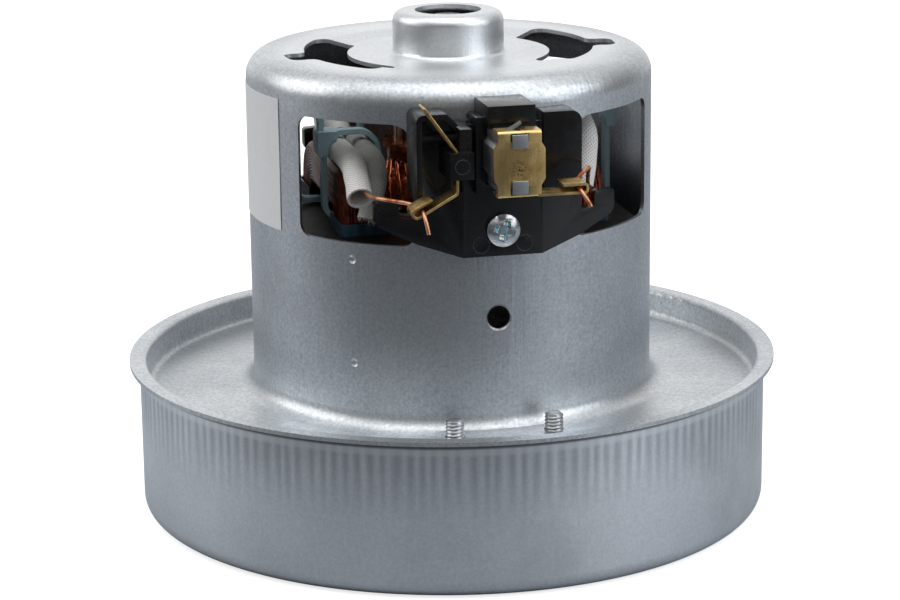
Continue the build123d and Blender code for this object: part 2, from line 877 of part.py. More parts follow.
# Commutator: moulded hub with copper bars, each with a riser for its lead
commutator_radius = 11.5
commutator_top = unit_height - 13.7
commutator_hub_radius = 7.6
commutator_hub_stand = 0.6
bar_count = 24
bar_gap = 0.5
hook_reach = 13.5
hook_width = 1.3
hook_height = 1.1

with BuildPart() as commutator_hub:
    with BuildSketch(Plane.XY.offset(riser_bottom - commutator_hub_stand)):
        Circle(commutator_hub_radius)
        Circle(shaft_body_radius + fit_gap, mode=Mode.SUBTRACT)
    extrude(amount=commutator_top - riser_bottom + 2 * commutator_hub_stand)
save(commutator_hub.part, "commutator_hub")

with BuildPart() as commutator_bars:
    with BuildSketch(Plane.XY.offset(riser_bottom)):
        Circle(riser_radius)
        Circle(commutator_hub_radius + fit_gap, mode=Mode.SUBTRACT)
    extrude(amount=riser_top - riser_bottom)
    with BuildSketch(Plane.XY.offset(riser_top)):
        Circle(commutator_radius)
        Circle(commutator_hub_radius + fit_gap, mode=Mode.SUBTRACT)
    extrude(amount=commutator_top - riser_top)
    with BuildSketch(Plane.XY.offset(riser_top - hook_height)):
        with PolarLocations(0, bar_count):
            with Locations((0, -(riser_radius + hook_reach) / 2)):
                Rectangle(hook_width, 2 * (hook_reach - riser_radius))
    extrude(amount=hook_height)
    with BuildSketch(Plane.XY.offset(riser_bottom - overrun)):
        with PolarLocations(0, bar_count, start_angle=full_turn / bar_count / 2):
            with Locations((hook_reach / 2 + commutator_hub_radius / 2, 0)):
                Rectangle(2 * (hook_reach - commutator_hub_radius), bar_gap)
    extrude(amount=commutator_top - riser_bottom + 2 * overrun, mode=Mode.SUBTRACT)
save(commutator_bars.part, "commutator_bars")

# Brush tube: folded steel with bulged sides, and two ears that bend over the brass cap
tube_width = 7.5
tube_height = 11.4
tube_sheet = 0.45
tube_bulge_height = 6.8
tube_bulge = 0.75
tube_inner_end = 14.2
tube_outer_end = 57.9
ear_width = 3.1
ear_length = 2.6
ear_sheet = 0.45
cap_sheet = 0.6

ear_front = tube_outer_end + cap_sheet + press_gap
tube_bottom = brush_level - tube_height / 2
tube_top = brush_level + tube_height / 2


def tube_outline(grow):
    """Tube section seen from outside, grown outwards by an amount, at the level of the brush."""
    half_width = tube_width / 2 + grow
    half_height = tube_height / 2 + grow
    half_bulge = tube_bulge_height / 2 + grow
    reach = half_width + tube_bulge
    points = []
    for x_side, y_side in ((1, -1), (1, 1), (-1, 1), (-1, -1)):
        corner = (x_side * half_width, brush_level + y_side * half_height)
        foot = (x_side * half_width, brush_level + y_side * half_bulge)
        crown = (x_side * reach, brush_level + y_side * (half_bulge - tube_bulge))
        points += [corner, foot, crown] if x_side * y_side < 0 else [crown, foot, corner]
    return Polyline(*points, close=True)


with BuildPart() as brush_tube_front:
    with BuildSketch(outward(front, tube_inner_end)):
        with BuildLine():
            tube_outline(0)
        make_face()
        with BuildLine():
            tube_outline(-tube_sheet)
        make_face(mode=Mode.SUBTRACT)
    extrude(amount=tube_outer_end - tube_inner_end)
    for ear_side in (-1, 1):
        ear_middle = brush_level + ear_side * (tube_height / 2 - ear_sheet / 2)
        with BuildSketch(outward(front, tube_outer_end - tube_sheet)):
            with Locations((0, ear_middle)):
                Rectangle(ear_width, ear_sheet)
        extrude(amount=ear_front + ear_sheet - tube_outer_end + tube_sheet)
        with BuildSketch(outward(front, ear_front)):
            with Locations((0, ear_middle + ear_side * (ear_sheet - ear_length) / 2)):
                Rectangle(ear_width, ear_length)
        extrude(amount=ear_sheet)
save(brush_tube_front.part, "brush_tube_front")
save(brush_tube_front.part.rotate(Axis.Z, half_turn), "brush_tube_rear")

# Brass brush cap: waisted plate with flanges above and below, and an arm crimped on the coil lead
cap_width = 8.4
cap_bulge_width = 9.9
cap_bulge_height = 7.0
cap_ramp = 1.2
cap_edge_radius = 0.65
cap_slot_gap = 0.2
cap_slot_height = 1.6
cap_flange_depth = 3.4
cap_height = tube_height + 2 * (cap_sheet + press_gap)
arm_sheet = 0.5
arm_depth = 5.0
arm_reach = 13.4
arm_flap_start = 8.4
arm_flap_rise = 2.1
arm_bend = 0.8

cap_front = tube_outer_end + cap_sheet
cap_bottom = brush_level - cap_height / 2
cap_top = brush_level + cap_height / 2
cap_bulge_bottom = brush_level - cap_bulge_height / 2 + cap_ramp / 2
cap_bulge_top = brush_level + cap_bulge_height / 2 - cap_ramp / 2
cap_slot_high = tube_top - cap_slot_height / 2 + cap_slot_gap
cap_slot_low = tube_bottom + cap_slot_height / 2 - cap_slot_gap

with BuildPart() as brush_cap_front:
    with BuildSketch(Plane.YZ.offset(-cap_width / 2)):
        with BuildLine():
            FilletPolyline(
                (cap_flange_depth - tube_outer_end, cap_top),
                (-cap_front, cap_top),
                (-cap_front, cap_bottom),
                (cap_flange_depth - tube_outer_end, cap_bottom),
                radius=cap_edge_radius,
            )
            offset(amount=cap_sheet, side=Side.LEFT)
        make_face()
    extrude(amount=cap_width)
    with BuildSketch(outward(front, tube_outer_end)):
        with BuildLine():
            Polyline(
                (-cap_width / 2, cap_bulge_bottom - cap_ramp),
                (-cap_bulge_width / 2, cap_bulge_bottom),
                (-cap_bulge_width / 2, cap_bulge_top),
                (-cap_width / 2, cap_bulge_top + cap_ramp),
                (cap_width / 2, cap_bulge_top + cap_ramp),
                (cap_bulge_width / 2, cap_bulge_top),
                (cap_bulge_width / 2, cap_bulge_bottom),
                (cap_width / 2, cap_bulge_bottom - cap_ramp),
                close=True,
            )
        make_face()
    extrude(amount=cap_sheet)
    with BuildSketch(outward(front, tube_outer_end - overrun)):
        with Locations((0, cap_slot_high), (0, cap_slot_low)):
            Rectangle(ear_width + 2 * cap_slot_gap, cap_slot_height)
    extrude(amount=overrun + cap_sheet + overrun, mode=Mode.SUBTRACT)
    with BuildSketch(outward(front, cap_front - arm_depth)):
        with BuildLine():
            FilletPolyline(
                (cap_width / 2 - cap_sheet, cap_bottom),
                (arm_reach, cap_bottom),
                (arm_reach, cap_bottom + arm_flap_rise),
                (arm_flap_start, cap_bottom + arm_flap_rise),
                radius=arm_bend,
            )
            offset(amount=arm_sheet, side=Side.LEFT)
        make_face()
    extrude(amount=arm_depth)
save(brush_cap_front.part, "brush_cap_front")
save(brush_cap_front.part.rotate(Axis.Z, half_turn), "brush_cap_rear")

# Carbon brush with its face worn to the commutator, its spring and its braided shunt
brush_width = 6.0
brush_height = 9.8
brush_length = 28.0
brush_face_gap = 0.06
brush_chamfer = 0.6
spring_radius = 2.5
spring_wire = 0.5
shunt_radius = 0.7

brush_face = commutator_radius + brush_face_gap
brush_back = brush_face + brush_length

with BuildPart() as carbon_brush_front:
    with BuildSketch(outward(front, commutator_hub_radius)):
        with Locations((0, brush_level)):
            Rectangle(brush_width, brush_height)
    extrude(amount=brush_back - commutator_hub_radius)
    chamfer(carbon_brush_front.faces().sort_by(Axis.Y)[0].edges(), brush_chamfer)
    with BuildSketch(Plane.XY.offset(tube_bottom - overrun)):
        Circle(brush_face)
    extrude(amount=tube_height + 2 * overrun, mode=Mode.SUBTRACT)
save(carbon_brush_front.part, "carbon_brush_front")
save(carbon_brush_front.part.rotate(Axis.Z, half_turn), "carbon_brush_rear")

with BuildPart() as brush_spring_front:
    with BuildSketch(outward(front, brush_back + press_gap)):
        with Locations((0, brush_level)):
            Circle(spring_radius)
            Circle(spring_radius - spring_wire, mode=Mode.SUBTRACT)
    extrude(amount=tube_outer_end - brush_back - 2 * press_gap)
save(brush_spring_front.part, "brush_spring_front")
save(brush_spring_front.part.rotate(Axis.Z, half_turn), "brush_spring_rear")

with BuildPart() as brush_shunt_front:
    with BuildSketch(outward(front, brush_back + press_gap)):
        with Locations((0, brush_level)):
            Circle(shunt_radius)
    extrude(amount=tube_outer_end - brush_back - 2 * press_gap)
save(brush_shunt_front.part, "brush_shunt_front")
save(brush_shunt_front.part.rotate(Axis.Z, half_turn), "brush_shunt_rear")

# Power terminal: one brass strip, a leaning tab above the block and a crimped arm below it
terminal_sheet = 0.5
terminal_width = 4.8
terminal_front = 52.0
terminal_tab_x = 16.9
terminal_tab_level = unit_height - 10.4
terminal_stem_x = 10.7
terminal_stem_top = unit_height - 19.1
terminal_stem_bottom = unit_height - 26.8
terminal_arm_x = 18.4
terminal_arm_level = unit_height - 31.1
terminal_curl_x = 19.1
terminal_curl_level = unit_height - 30.1
terminal_flap_x = 15.2
terminal_flap_level = unit_height - 28.0
terminal_bend = 0.55
terminal_slot_bend = 0.75
terminal_slot_gap = 0.1

terminal_points = [
    (-terminal_tab_x, terminal_tab_level),
    (-terminal_stem_x, terminal_stem_top),
    (-terminal_stem_x, terminal_stem_bottom),
    (-terminal_arm_x, terminal_arm_level),
    (-terminal_curl_x, terminal_curl_level),
    (-terminal_flap_x, terminal_flap_level),
]

with BuildPart() as power_terminal_front:
    with BuildSketch(outward(front, terminal_front - terminal_width)):
        with BuildLine():
            FilletPolyline(*terminal_points, radius=terminal_bend)
            offset(amount=terminal_sheet, side=Side.LEFT)
        make_face()
    extrude(amount=terminal_width)
save(power_terminal_front.part, "power_terminal_front")
save(power_terminal_front.part.rotate(Axis.Z, half_turn), "power_terminal_rear")

# Brush holder: black moulding on a flat plate with wings that fold back towards the windows
plate_half_width = 7.9
plate_bottom = unit_height - 41.2
plate_top = unit_height - 15.1
plate_front = 45.0
plate_seat = casing_radius + seat_gap
wing_sheet = 2.3
wing_reach = 24.6
wing_tip_front = 39.0
wing_knee_x = 16.2
wing_knee_level = unit_height - 38.7
wing_tip_x = 24.0
wing_tip_level = unit_height - 35.1
wing_top = unit_height - 30.6
wing_slot_start = 16.5
wing_slot_end = 19.5
wing_slot_floor = unit_height - 33.6
wing_root_level = unit_height - 28.1
wing_small_radius = 0.7
wing_tip_radius = 2.2
collar_width = 11.8
collar_bottom = unit_height - 28.1
collar_front = 48.0
collar_inner_end = 30.0
collar_top = unit_height - 13.3
crown_half_width = 4.6
crown_top = unit_height - 10.4
crown_front = 52.6
panel_far = 15.5
panel_bottom = unit_height - 28.6
panel_top = unit_height - 13.3
panel_front = 46.0
panel_corner = 2.0
tray_far = 17.2
tray_bottom = unit_height - 29.1
tray_top = unit_height - 12.5
tray_floor_front = 43.4
tray_front = 47.0
tray_wall = 1.1
tray_shoulder_x = 11.3
tray_post_x = 8.7
tray_corner = 1.4
ledge_bottom = unit_height - 17.8
ledge_top = unit_height - 16.5
ledge_near = 9.7
ledge_front = 46.6
block_far = 12.1
block_near = 7.4
block_bottom = unit_height - 24.1
block_top = unit_height - 18.9
block_front = 53.0
post_far = 9.7
post_top = unit_height - 14.8
post_front = 51.0
tube_play = 0.15

holder_back = casing_radius * cos(radians(2 * window_half_angle))
cut_depth = crown_front + overrun
crown_bottom = tube_top + tube_play


def block_out(low_x, high_x, low_z, high_z, back, face):
    """Rectangular block of the holder between two offsets, two levels and two distances."""
    with BuildPart(mode=Mode.PRIVATE) as block:
        with BuildSketch(outward(front, back)):
            with Locations(((low_x + high_x) / 2, (low_z + high_z) / 2)):
                Rectangle(high_x - low_x, high_z - low_z)
        extrude(amount=face - back)
    return block.part


with BuildPart() as holder_wings:
    with BuildSketch(Plane.XY.offset(plate_bottom - overrun)):
        with BuildLine():
            Polyline(
                (-wing_reach, -wing_tip_front),
                (-plate_half_width, -plate_front),
                (plate_half_width, -plate_front),
                (wing_reach, -wing_tip_front),
            )
            offset(amount=wing_sheet, side=Side.LEFT)
        make_face()
    extrude(amount=wing_root_level - plate_bottom + 2 * overrun)
    with BuildSketch(outward(front, holder_back - overrun)):
        for side in (-1, 1):
            with BuildLine():
                FilletPolyline(
                    (0, plate_bottom),
                    (side * plate_half_width, plate_bottom),
                    (side * wing_knee_x, wing_knee_level),
                    (side * wing_tip_x, wing_tip_level),
                    (side * wing_tip_x, wing_top),
                    (side * wing_slot_end, wing_top),
                    (side * wing_slot_end, wing_slot_floor),
                    (side * wing_slot_start, wing_slot_floor),
                    (side * wing_slot_start, wing_root_level),
                    (0, wing_root_level),
                    radius=[
                        0,
                        wing_small_radius,
                        wing_tip_radius,
                        wing_tip_radius,
                        wing_small_radius,
                        wing_small_radius,
                        wing_small_radius,
                        wing_small_radius,
                        0,
                        0,
                    ],
                    close=True,
                )
            make_face()
    extrude(amount=cut_depth - holder_back, mode=Mode.INTERSECT)

with BuildPart() as brush_holder_front:
    add(holder_wings.part)
    with BuildSketch(outward(front, holder_back)):
        with Locations((0, (plate_bottom + plate_top) / 2)):
            Rectangle(2 * plate_half_width, plate_top - plate_bottom)
    extrude(amount=plate_front - holder_back)

    # Side panel on the right of the plate
    with BuildSketch(outward(front, holder_back)):
        with BuildLine():
            FilletPolyline(
                (0, panel_bottom),
                (panel_far, panel_bottom),
                (panel_far, panel_top),
                (plate_half_width, panel_top),
                (plate_half_width, plate_top),
                (0, plate_top),
                radius=[0, 0, panel_corner, 0, 0, 0],
                close=True,
            )
        make_face()
    extrude(amount=plate_front - holder_back)
    with BuildSketch(outward(front, plate_front - overrun)):
        with BuildLine():
            FilletPolyline(
                (plate_half_width, panel_bottom),
                (panel_far, panel_bottom),
                (panel_far, panel_top),
                (plate_half_width, panel_top),
                radius=[0, 0, panel_corner, 0],
                close=True,
            )
        make_face()
    extrude(amount=panel_front - plate_front + overrun)

    # Open tray on the left, with a ledge, a post and the block that grips the power terminal
    with BuildSketch(outward(front, holder_back)):
        with BuildLine():
            FilletPolyline(
                (0, tray_bottom),
                (-tray_far, tray_bottom),
                (-tray_far, tray_top),
                (-tray_shoulder_x, tray_top),
                (-tray_post_x, plate_top),
                (0, plate_top),
                radius=[0, 0, tray_corner, 0, 0, 0],
                close=True,
            )
        make_face()
    extrude(amount=tray_floor_front - holder_back)
    with BuildSketch(outward(front, holder_back)):
        with BuildLine():
            FilletPolyline(
                (-tray_far, tray_bottom),
                (-tray_far, tray_top),
                (-tray_shoulder_x, tray_top),
                (-tray_post_x, plate_top),
                radius=[tray_corner, 0],
            )
            offset(amount=tray_wall, side=Side.RIGHT)
        make_face()
    extrude(amount=tray_front - holder_back)
    add(block_out(-tray_far, -ledge_near, ledge_bottom, ledge_top, holder_back, ledge_front))
    add(block_out(-block_far, -block_near, block_bottom, block_top, holder_back, block_front))
    add(block_out(-post_far, -block_near, block_bottom, post_top, holder_back, post_front))

    # Crown above the tube and the collar round it
    add(
        block_out(
            -crown_half_width, crown_half_width, crown_bottom, crown_top, holder_back, crown_front
        )
    )
    add(
        block_out(
            -collar_width / 2, collar_width / 2, collar_bottom, collar_top, holder_back, collar_front
        )
    )

    # Back hollowed to the casing wall, then the collar carried on through the casing slot
    with BuildSketch(Plane.XY.offset(plate_bottom - overrun)):
        Circle(plate_seat)
    extrude(amount=crown_top - plate_bottom + 2 * overrun, mode=Mode.SUBTRACT)
    with BuildSketch(outward(front, collar_inner_end)):
        with Locations((0, brush_level)):
            Rectangle(brush_slot_width - 2 * seat_gap, brush_slot_height - 2 * seat_gap)
    extrude(amount=plate_front - collar_inner_end)

    # Slot for the power terminal
    with BuildSketch(outward(front, terminal_front - terminal_width - terminal_slot_gap)):
        with BuildLine():
            FilletPolyline(*terminal_points[:3], radius=terminal_slot_bend)
            offset(amount=terminal_sheet + terminal_slot_gap, side=Side.LEFT)
        make_face()
        with BuildLine():
            FilletPolyline(*terminal_points[:3], radius=terminal_slot_bend)
            offset(amount=terminal_slot_gap, side=Side.RIGHT)
        make_face()
    extrude(amount=terminal_width + 2 * terminal_slot_gap, mode=Mode.SUBTRACT)

    # Bore for the brush tube and hole for the fixing screw
    with BuildSketch(outward(front, collar_inner_end - overrun)):
        with BuildLine():
            tube_outline(tube_play)
        make_face()
    extrude(amount=cut_depth - collar_inner_end + overrun, mode=Mode.SUBTRACT)
    with BuildSketch(outward(front, holder_back)):
        with Locations((0, holder_screw_level)):
            Circle(holder_screw_radius + holder_screw_clearance)
    extrude(amount=cut_depth - holder_back, mode=Mode.SUBTRACT)
save(brush_holder_front.part, "brush_holder_front")
save(brush_holder_front.part.rotate(Axis.Z, half_turn), "brush_holder_rear")

# Pan-head screws that hold the brush holders to the casing
holder_screw_head = 3.3
holder_screw_head_height = 2.0
holder_screw_dome = 1.1
holder_screw_length = 9.0
holder_screw_recess = 1.2
recess_width = 0.9
recess_length = 3.8

with BuildPart() as holder_screws:
    for holder_azimuth in (front, half_turn):
        head_plane = outward(holder_azimuth, plate_front)
        with BuildSketch(head_plane):
            with Locations((0, holder_screw_level)):
                Circle(holder_screw_head)
        extrude(amount=holder_screw_head_height)
        crown_side = Axis.Y if holder_azimuth == half_turn else Axis((0, 0, 0), (0, -1, 0))
        fillet(
            holder_screws.edges().filter_by(GeomType.CIRCLE).sort_by(crown_side)[-1],
            holder_screw_dome,
        )
        with BuildSketch(outward(holder_azimuth, plate_front + holder_screw_head_height)):
            with Locations((0, holder_screw_level)):
                Rectangle(recess_length, recess_width)
                Rectangle(recess_width, recess_length)
        extrude(amount=-holder_screw_recess, mode=Mode.SUBTRACT)
        with BuildSketch(head_plane):
            with Locations((0, holder_screw_level)):
                Circle(holder_screw_radius)
        extrude(amount=-holder_screw_length)
save(holder_screws.part, "holder_screws")

# Braided sleeves over the coil leads, routed by hand from the coil tops to the windows
sleeve_radius = 2.5
sleeve_wall = 0.45
torn_sleeve_radius = 2.25
sleeve_bend_share = 0.45
wire_bend_share = 0.32
terminal_sleeve_route = [
    (-24.9, -0.9, unit_height - 26.1),
    (-24.9, -14.0, unit_height - 26.1),
    (-24.7, -22.5, unit_height - 26.2),
    (-25.6, -33.6, unit_height - 30.8),
]
torn_sleeve_route = [
    (-20.0, -0.9, unit_height - 26.3),
    (-20.0, -14.0, unit_height - 26.3),
    (-19.7, -21.2, unit_height - 26.8),
    (-21.4, -26.9, unit_height - 31.3),
    (-22.9, -27.9, unit_height - 36.5),
]
brush_sleeve_route = [
    (22.6, -0.9, unit_height - 25.8),
    (22.4, -8.5, unit_height - 23.7),
    (21.6, -19.5, unit_height - 19.1),
    (21.8, -27.0, unit_height - 23.4),
    (19.6, -30.6, unit_height - 31.5),
]


def tube_along(route, bend_share, outer_radius, inner_radius=0.0):
    """Tube or wire of round section along a route of straight runs joined by arcs."""
    radii = []
    for before, corner, after in zip(route, route[1:], route[2:]):
        run_in = Vector(corner) - Vector(before)
        run_out = Vector(after) - Vector(corner)
        turn = radians(run_in.get_angle(run_out))
        radii.append(bend_share * min(run_in.length, run_out.length) / tan(turn / 2))
    with BuildPart(mode=Mode.PRIVATE) as tube:
        with BuildLine() as tube_path:
            FilletPolyline(*route, radius=radii)
        with BuildSketch(Plane(origin=route[0], z_dir=Vector(route[1]) - Vector(route[0]))):
            Circle(outer_radius)
            if inner_radius > 0:
                Circle(inner_radius, mode=Mode.SUBTRACT)
        sweep(path=tube_path.wire())
    return tube.part


def with_copy(piece):
    """The front piece together with its copy at the rear brush."""
    with BuildPart(mode=Mode.PRIVATE) as pair:
        add(piece)
        add(piece.rotate(Axis.Z, half_turn))
    return pair.part


for sleeve_name, sleeve_route, radius in (
    ("terminal_lead_sleeves", terminal_sleeve_route, sleeve_radius),
    ("torn_lead_sleeves", torn_sleeve_route, torn_sleeve_radius),
    ("brush_lead_sleeves", brush_sleeve_route, sleeve_radius),
):
    sleeve = tube_along(sleeve_route, sleeve_bend_share, radius, radius - sleeve_wall)
    save(with_copy(sleeve), sleeve_name)

# Coil leads: tinned ends run from inside the sleeves to the crimps, routed by hand
lead_wire_radius = 0.4
terminal_lead_route = [
    (-24.9, -24.0, unit_height - 26.7),
    (-25.4, -33.2, unit_height - 30.4),
    (-22.6, -42.6, unit_height - 29.3),
    (-17.2, -46.4, unit_height - 29.75),
    (-17.2, -53.4, unit_height - 29.75),
    (-16.6, -54.1, unit_height - 33.9),
]
brush_lead_route = [
    (21.3, -28.0, unit_height - 25.6),
    (19.7, -30.6, unit_height - 31.3),
    (19.4, -36.5, unit_height - 31.8),
    (17.4, -43.4, unit_height - 25.9),
    (16.4, -49.0, unit_height - 23.4),
    (11.6, -53.0, unit_height - 25.8),
    (11.6, -60.0, unit_height - 25.8),
    (13.2, -60.6, unit_height - 28.9),
]
for wire_name, wire_route in (
    ("terminal_leads", terminal_lead_route),
    ("brush_leads", brush_lead_route),
):
    save(with_copy(tube_along(wire_route, wire_bend_share, lead_wire_radius)), wire_name)

# Cable ties round the coil ends: a closed strap with a ratchet head at its outer corner
tie_strap = 1.1
tie_width = 2.4
tie_reach = 8.5
tie_low_radius = 2.2
tie_high_radius = 3.4
tie_head_width = 5.4
tie_head_height = 5.0
tie_head_depth = 4.2
tie_head_drop = 1.4
tie_tail = 1.9
tie_side_gap = 0.5
tie_foot_gap = 0.35
tie_far_play = 3.6
terminal_tie_crown = unit_height - 23.0
brush_tie_crown = unit_height - 20.1

tie_low = core_top + tie_foot_gap + tie_strap


def cable_tie(near, far, crown):
    """Tie round the coil end on the +X side, near the front brush."""
    corners = [(near, tie_low), (far, tie_low), (far, crown), (near, crown)]
    radii = [tie_low_radius, tie_low_radius, tie_high_radius, tie_high_radius]
    tie_middle = Plane.XZ.offset(tie_reach)
    with BuildPart(mode=Mode.PRIVATE) as tie:
        with BuildSketch(tie_middle):
            with BuildLine():
                FilletPolyline(*corners, radius=radii, close=True)
                offset(amount=tie_strap)
            make_face()
        extrude(amount=tie_width / 2, both=True)
        with BuildSketch(tie_middle):
            with Locations((far, crown - tie_head_drop)):
                RectangleRounded(tie_head_depth, tie_head_height, tie_strap / 2)
        extrude(amount=tie_head_width / 2, both=True)
        with BuildSketch(tie_middle):
            with Locations((far + tie_strap, crown + tie_tail)):
                Rectangle(tie_strap, 2 * tie_tail)
        extrude(amount=tie_width / 2, both=True)
        with BuildSketch(tie_middle):
            with BuildLine():
                FilletPolyline(*corners, radius=radii, close=True)
            make_face()
        extrude(amount=tie_head_width, both=True, mode=Mode.SUBTRACT)
    return tie.part


brush_tie = cable_tie(coil_near - tie_side_gap, coil_far + tie_far_play, brush_tie_crown)
terminal_tie = cable_tie(coil_near - tie_side_gap, coil_far + tie_side_gap, terminal_tie_crown)
save(with_copy(brush_tie), "brush_side_ties")
save(with_copy(terminal_tie.mirror(Plane.YZ)), "terminal_side_ties")
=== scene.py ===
import math
import random

import bmesh
import bpy
from mathutils import Matrix, Vector


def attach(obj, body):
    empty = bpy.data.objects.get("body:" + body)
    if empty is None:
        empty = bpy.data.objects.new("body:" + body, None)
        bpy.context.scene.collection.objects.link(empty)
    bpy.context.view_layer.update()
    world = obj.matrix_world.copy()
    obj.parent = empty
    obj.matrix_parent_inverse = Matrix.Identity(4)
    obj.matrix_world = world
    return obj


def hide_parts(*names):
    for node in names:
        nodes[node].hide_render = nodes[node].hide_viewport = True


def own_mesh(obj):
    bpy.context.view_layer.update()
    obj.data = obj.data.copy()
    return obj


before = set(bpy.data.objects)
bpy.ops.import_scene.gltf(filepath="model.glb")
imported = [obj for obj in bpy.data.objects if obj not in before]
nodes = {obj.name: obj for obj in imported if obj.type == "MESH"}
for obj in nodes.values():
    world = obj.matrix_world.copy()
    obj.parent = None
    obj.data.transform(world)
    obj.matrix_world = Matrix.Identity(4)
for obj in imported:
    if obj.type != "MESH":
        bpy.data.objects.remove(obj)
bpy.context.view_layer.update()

# Studio: the photograph's viewpoint, a pale table, a white backdrop behind and soft boxes at the
# sides. The room in front stays darker, which is what the steel walls mirror in the photograph.
scene = bpy.context.scene
scene.view_settings.view_transform = "Standard"

pitch = math.radians(14.722)
roll = math.radians(-0.642)
part_turn = math.radians(-13.0)
eye = Vector((0, -0.57331, 0.19288))
camera_data = bpy.data.cameras.new("camera")
camera_data.sensor_width = 36.0
camera_data.sensor_fit = "HORIZONTAL"
camera_data.lens = 112.963
camera_data.clip_start = 0.05


def put_in_scene(name, data):
    """An object of the scene."""
    item = bpy.data.objects.new(name, data)
    scene.collection.objects.link(item)
    return item


camera = put_in_scene("camera", camera_data)
scene.camera = camera
looking = Vector((-0.000367, math.cos(pitch), -math.sin(pitch))).normalized()
level_right = looking.cross(Vector((0, 0, 1))).normalized()
level_up = level_right.cross(looking)
right = level_right * math.cos(roll) + level_up * math.sin(roll)
up = level_up * math.cos(roll) - level_right * math.sin(roll)
turned = Matrix.Rotation(part_turn, 3, "Z")
axes = Matrix((turned @ right, turned @ up, turned @ -looking)).transposed()
camera.matrix_world = Matrix.Translation(turned @ eye) @ axes.to_4x4()


def new_material(name):
    """A material with one Principled shader, returned with its node tree."""
    material = bpy.data.materials.new(name)
    material.use_nodes = True
    tree = material.node_tree
    return material, tree, tree.nodes["Principled BSDF"]


def feed(tree, socket, value):
    """Links a node's output into a socket, or sets the socket's own value."""
    if isinstance(value, bpy.types.NodeSocket):
        tree.links.new(value, socket)
    elif socket.type == "RGBA" and len(value) == 3:
        socket.default_value = (*value, 1)
    else:
        socket.default_value = value


def place(tree, kind, settings=None, **inputs):
    """Adds a shader node; inputs are values or other nodes' outputs, named as the sockets are."""
    node = tree.nodes.new("ShaderNode" + kind)
    for key, value in (settings or {}).items():
        setattr(node, key, value)
    for key, value in inputs.items():
        numbered = key[0] == "_" and key[1:].isdigit()
        feed(tree, node.inputs[int(key[1:]) if numbered else key.replace("_", " ")], value)
    return node


def compute(tree, operation, *values):
    """A Math node on one or two values."""
    inputs = {f"_{i}": value for i, value in enumerate(values)}
    return place(tree, "Math", {"operation": operation}, **inputs).outputs[0]


def product(tree, first, second):
    """Two masks or values multiplied."""
    return compute(tree, "MULTIPLY", first, second)


def measure(tree, operation, *vectors):
    """A Vector Math node whose result is one number."""
    inputs = {f"_{i}": vector for i, vector in enumerate(vectors)}
    return place(tree, "VectorMath", {"operation": operation}, **inputs).outputs["Value"]


def ramp(tree, value, low, high, from_low=0.0, from_high=1.0):
    """Maps a value's range to another one and clamps it there."""
    return place(
        tree, "MapRange",
        Value=value, From_Min=from_low, From_Max=from_high, To_Min=low, To_Max=high,
    ).outputs["Result"]


def rise(tree, value, start, end, top=1.0):
    """0 up to the start, climbing to the top at the end."""
    return ramp(tree, value, 0.0, top, start, end)


def fall(tree, value, start, end):
    """1 up to the start, dropping to 0 at the end."""
    return ramp(tree, value, 1.0, 0.0, start, end)


def blend(tree, mask, first, second):
    """First colour where the mask is 0, second where it is 1."""
    return place(tree, "Mix", {"data_type": "RGBA"}, _0=mask, _6=first, _7=second).outputs[2]


def object_position(tree):
    """The point in the part's frame."""
    return place(tree, "TexCoord").outputs["Object"]


def split(tree, vector=None):
    """The three parts of a vector, or of the point in the part's frame."""
    return place(tree, "SeparateXYZ", Vector=vector or object_position(tree)).outputs


def vector_of(tree, **parts):
    """A vector from its parts."""
    return place(tree, "CombineXYZ", **parts).outputs[0]


def around(radius, turn, level):
    """The point at an angle round the upright axis."""
    return Vector((radius * math.cos(turn), radius * math.sin(turn), level))


table_sides = 64
table_radius = 0.9
table_tone = (0.62, 0.63, 0.64)
table_lift = 0.72
mirrored_near = (0.37, 0.395, 0.43)
mirrored_front = (0.035, 0.04, 0.047)
front_way = turned @ Vector((-0.30, -1, 0)).normalized()
table_rim = [around(table_radius, math.tau * side / table_sides, 0) for side in range(table_sides)]
table_mesh = bpy.data.meshes.new("table")
table_mesh.from_pydata(table_rim, [], [tuple(range(table_sides))])
table = put_in_scene("table", table_mesh)
material, tree, shader = new_material("pale table")
position = object_position(tree)
spot = place(tree, "VectorMath", {"operation": "NORMALIZE"}, _0=position)
in_front = measure(tree, "DOT_PRODUCT", spot.outputs["Vector"], front_way)
reach = measure(tree, "LENGTH", position)
away = product(tree, rise(tree, in_front, 0.15, 0.93), ramp(tree, reach, 0.35, 1.0, 0.11, 0.22))
table_dark = blend(tree, away, mirrored_near, mirrored_front)
seen = place(tree, "LightPath").outputs["Is Camera Ray"]
feed(tree, shader.inputs["Base Color"], blend(tree, seen, table_dark, table_tone))
lift = place(tree, "Emission", Color=(1, 1, 1, 1), Strength=ramp(tree, seen, 0.0, table_lift))
both = place(tree, "AddShader", _0=shader.outputs[0], _1=lift.outputs[0])
feed(tree, tree.nodes["Material Output"].inputs[0], both.outputs[0])
table_mesh.materials.append(material)

world = bpy.data.worlds.new("studio")
scene.world = world
world.use_nodes = True
tree = world.node_tree
direction = place(tree, "TexCoord").outputs["Generated"]
depth = measure(tree, "DOT_PRODUCT", direction, turned @ Vector((0, 1, 0)))
behind = ramp(tree, depth, 0.13, 1.0, 0.55, 0.93)
overhead = ramp(tree, split(tree, direction)["Z"], 0.0, 0.8, 0.16, 0.75)
room = compute(tree, "MAXIMUM", behind, overhead)
seen = place(tree, "LightPath").outputs["Is Camera Ray"]
background = tree.nodes["Background"]
feed(tree, background.inputs["Strength"], compute(tree, "MAXIMUM", room, seen))
background.inputs["Color"].default_value = (1, 1, 1, 1)

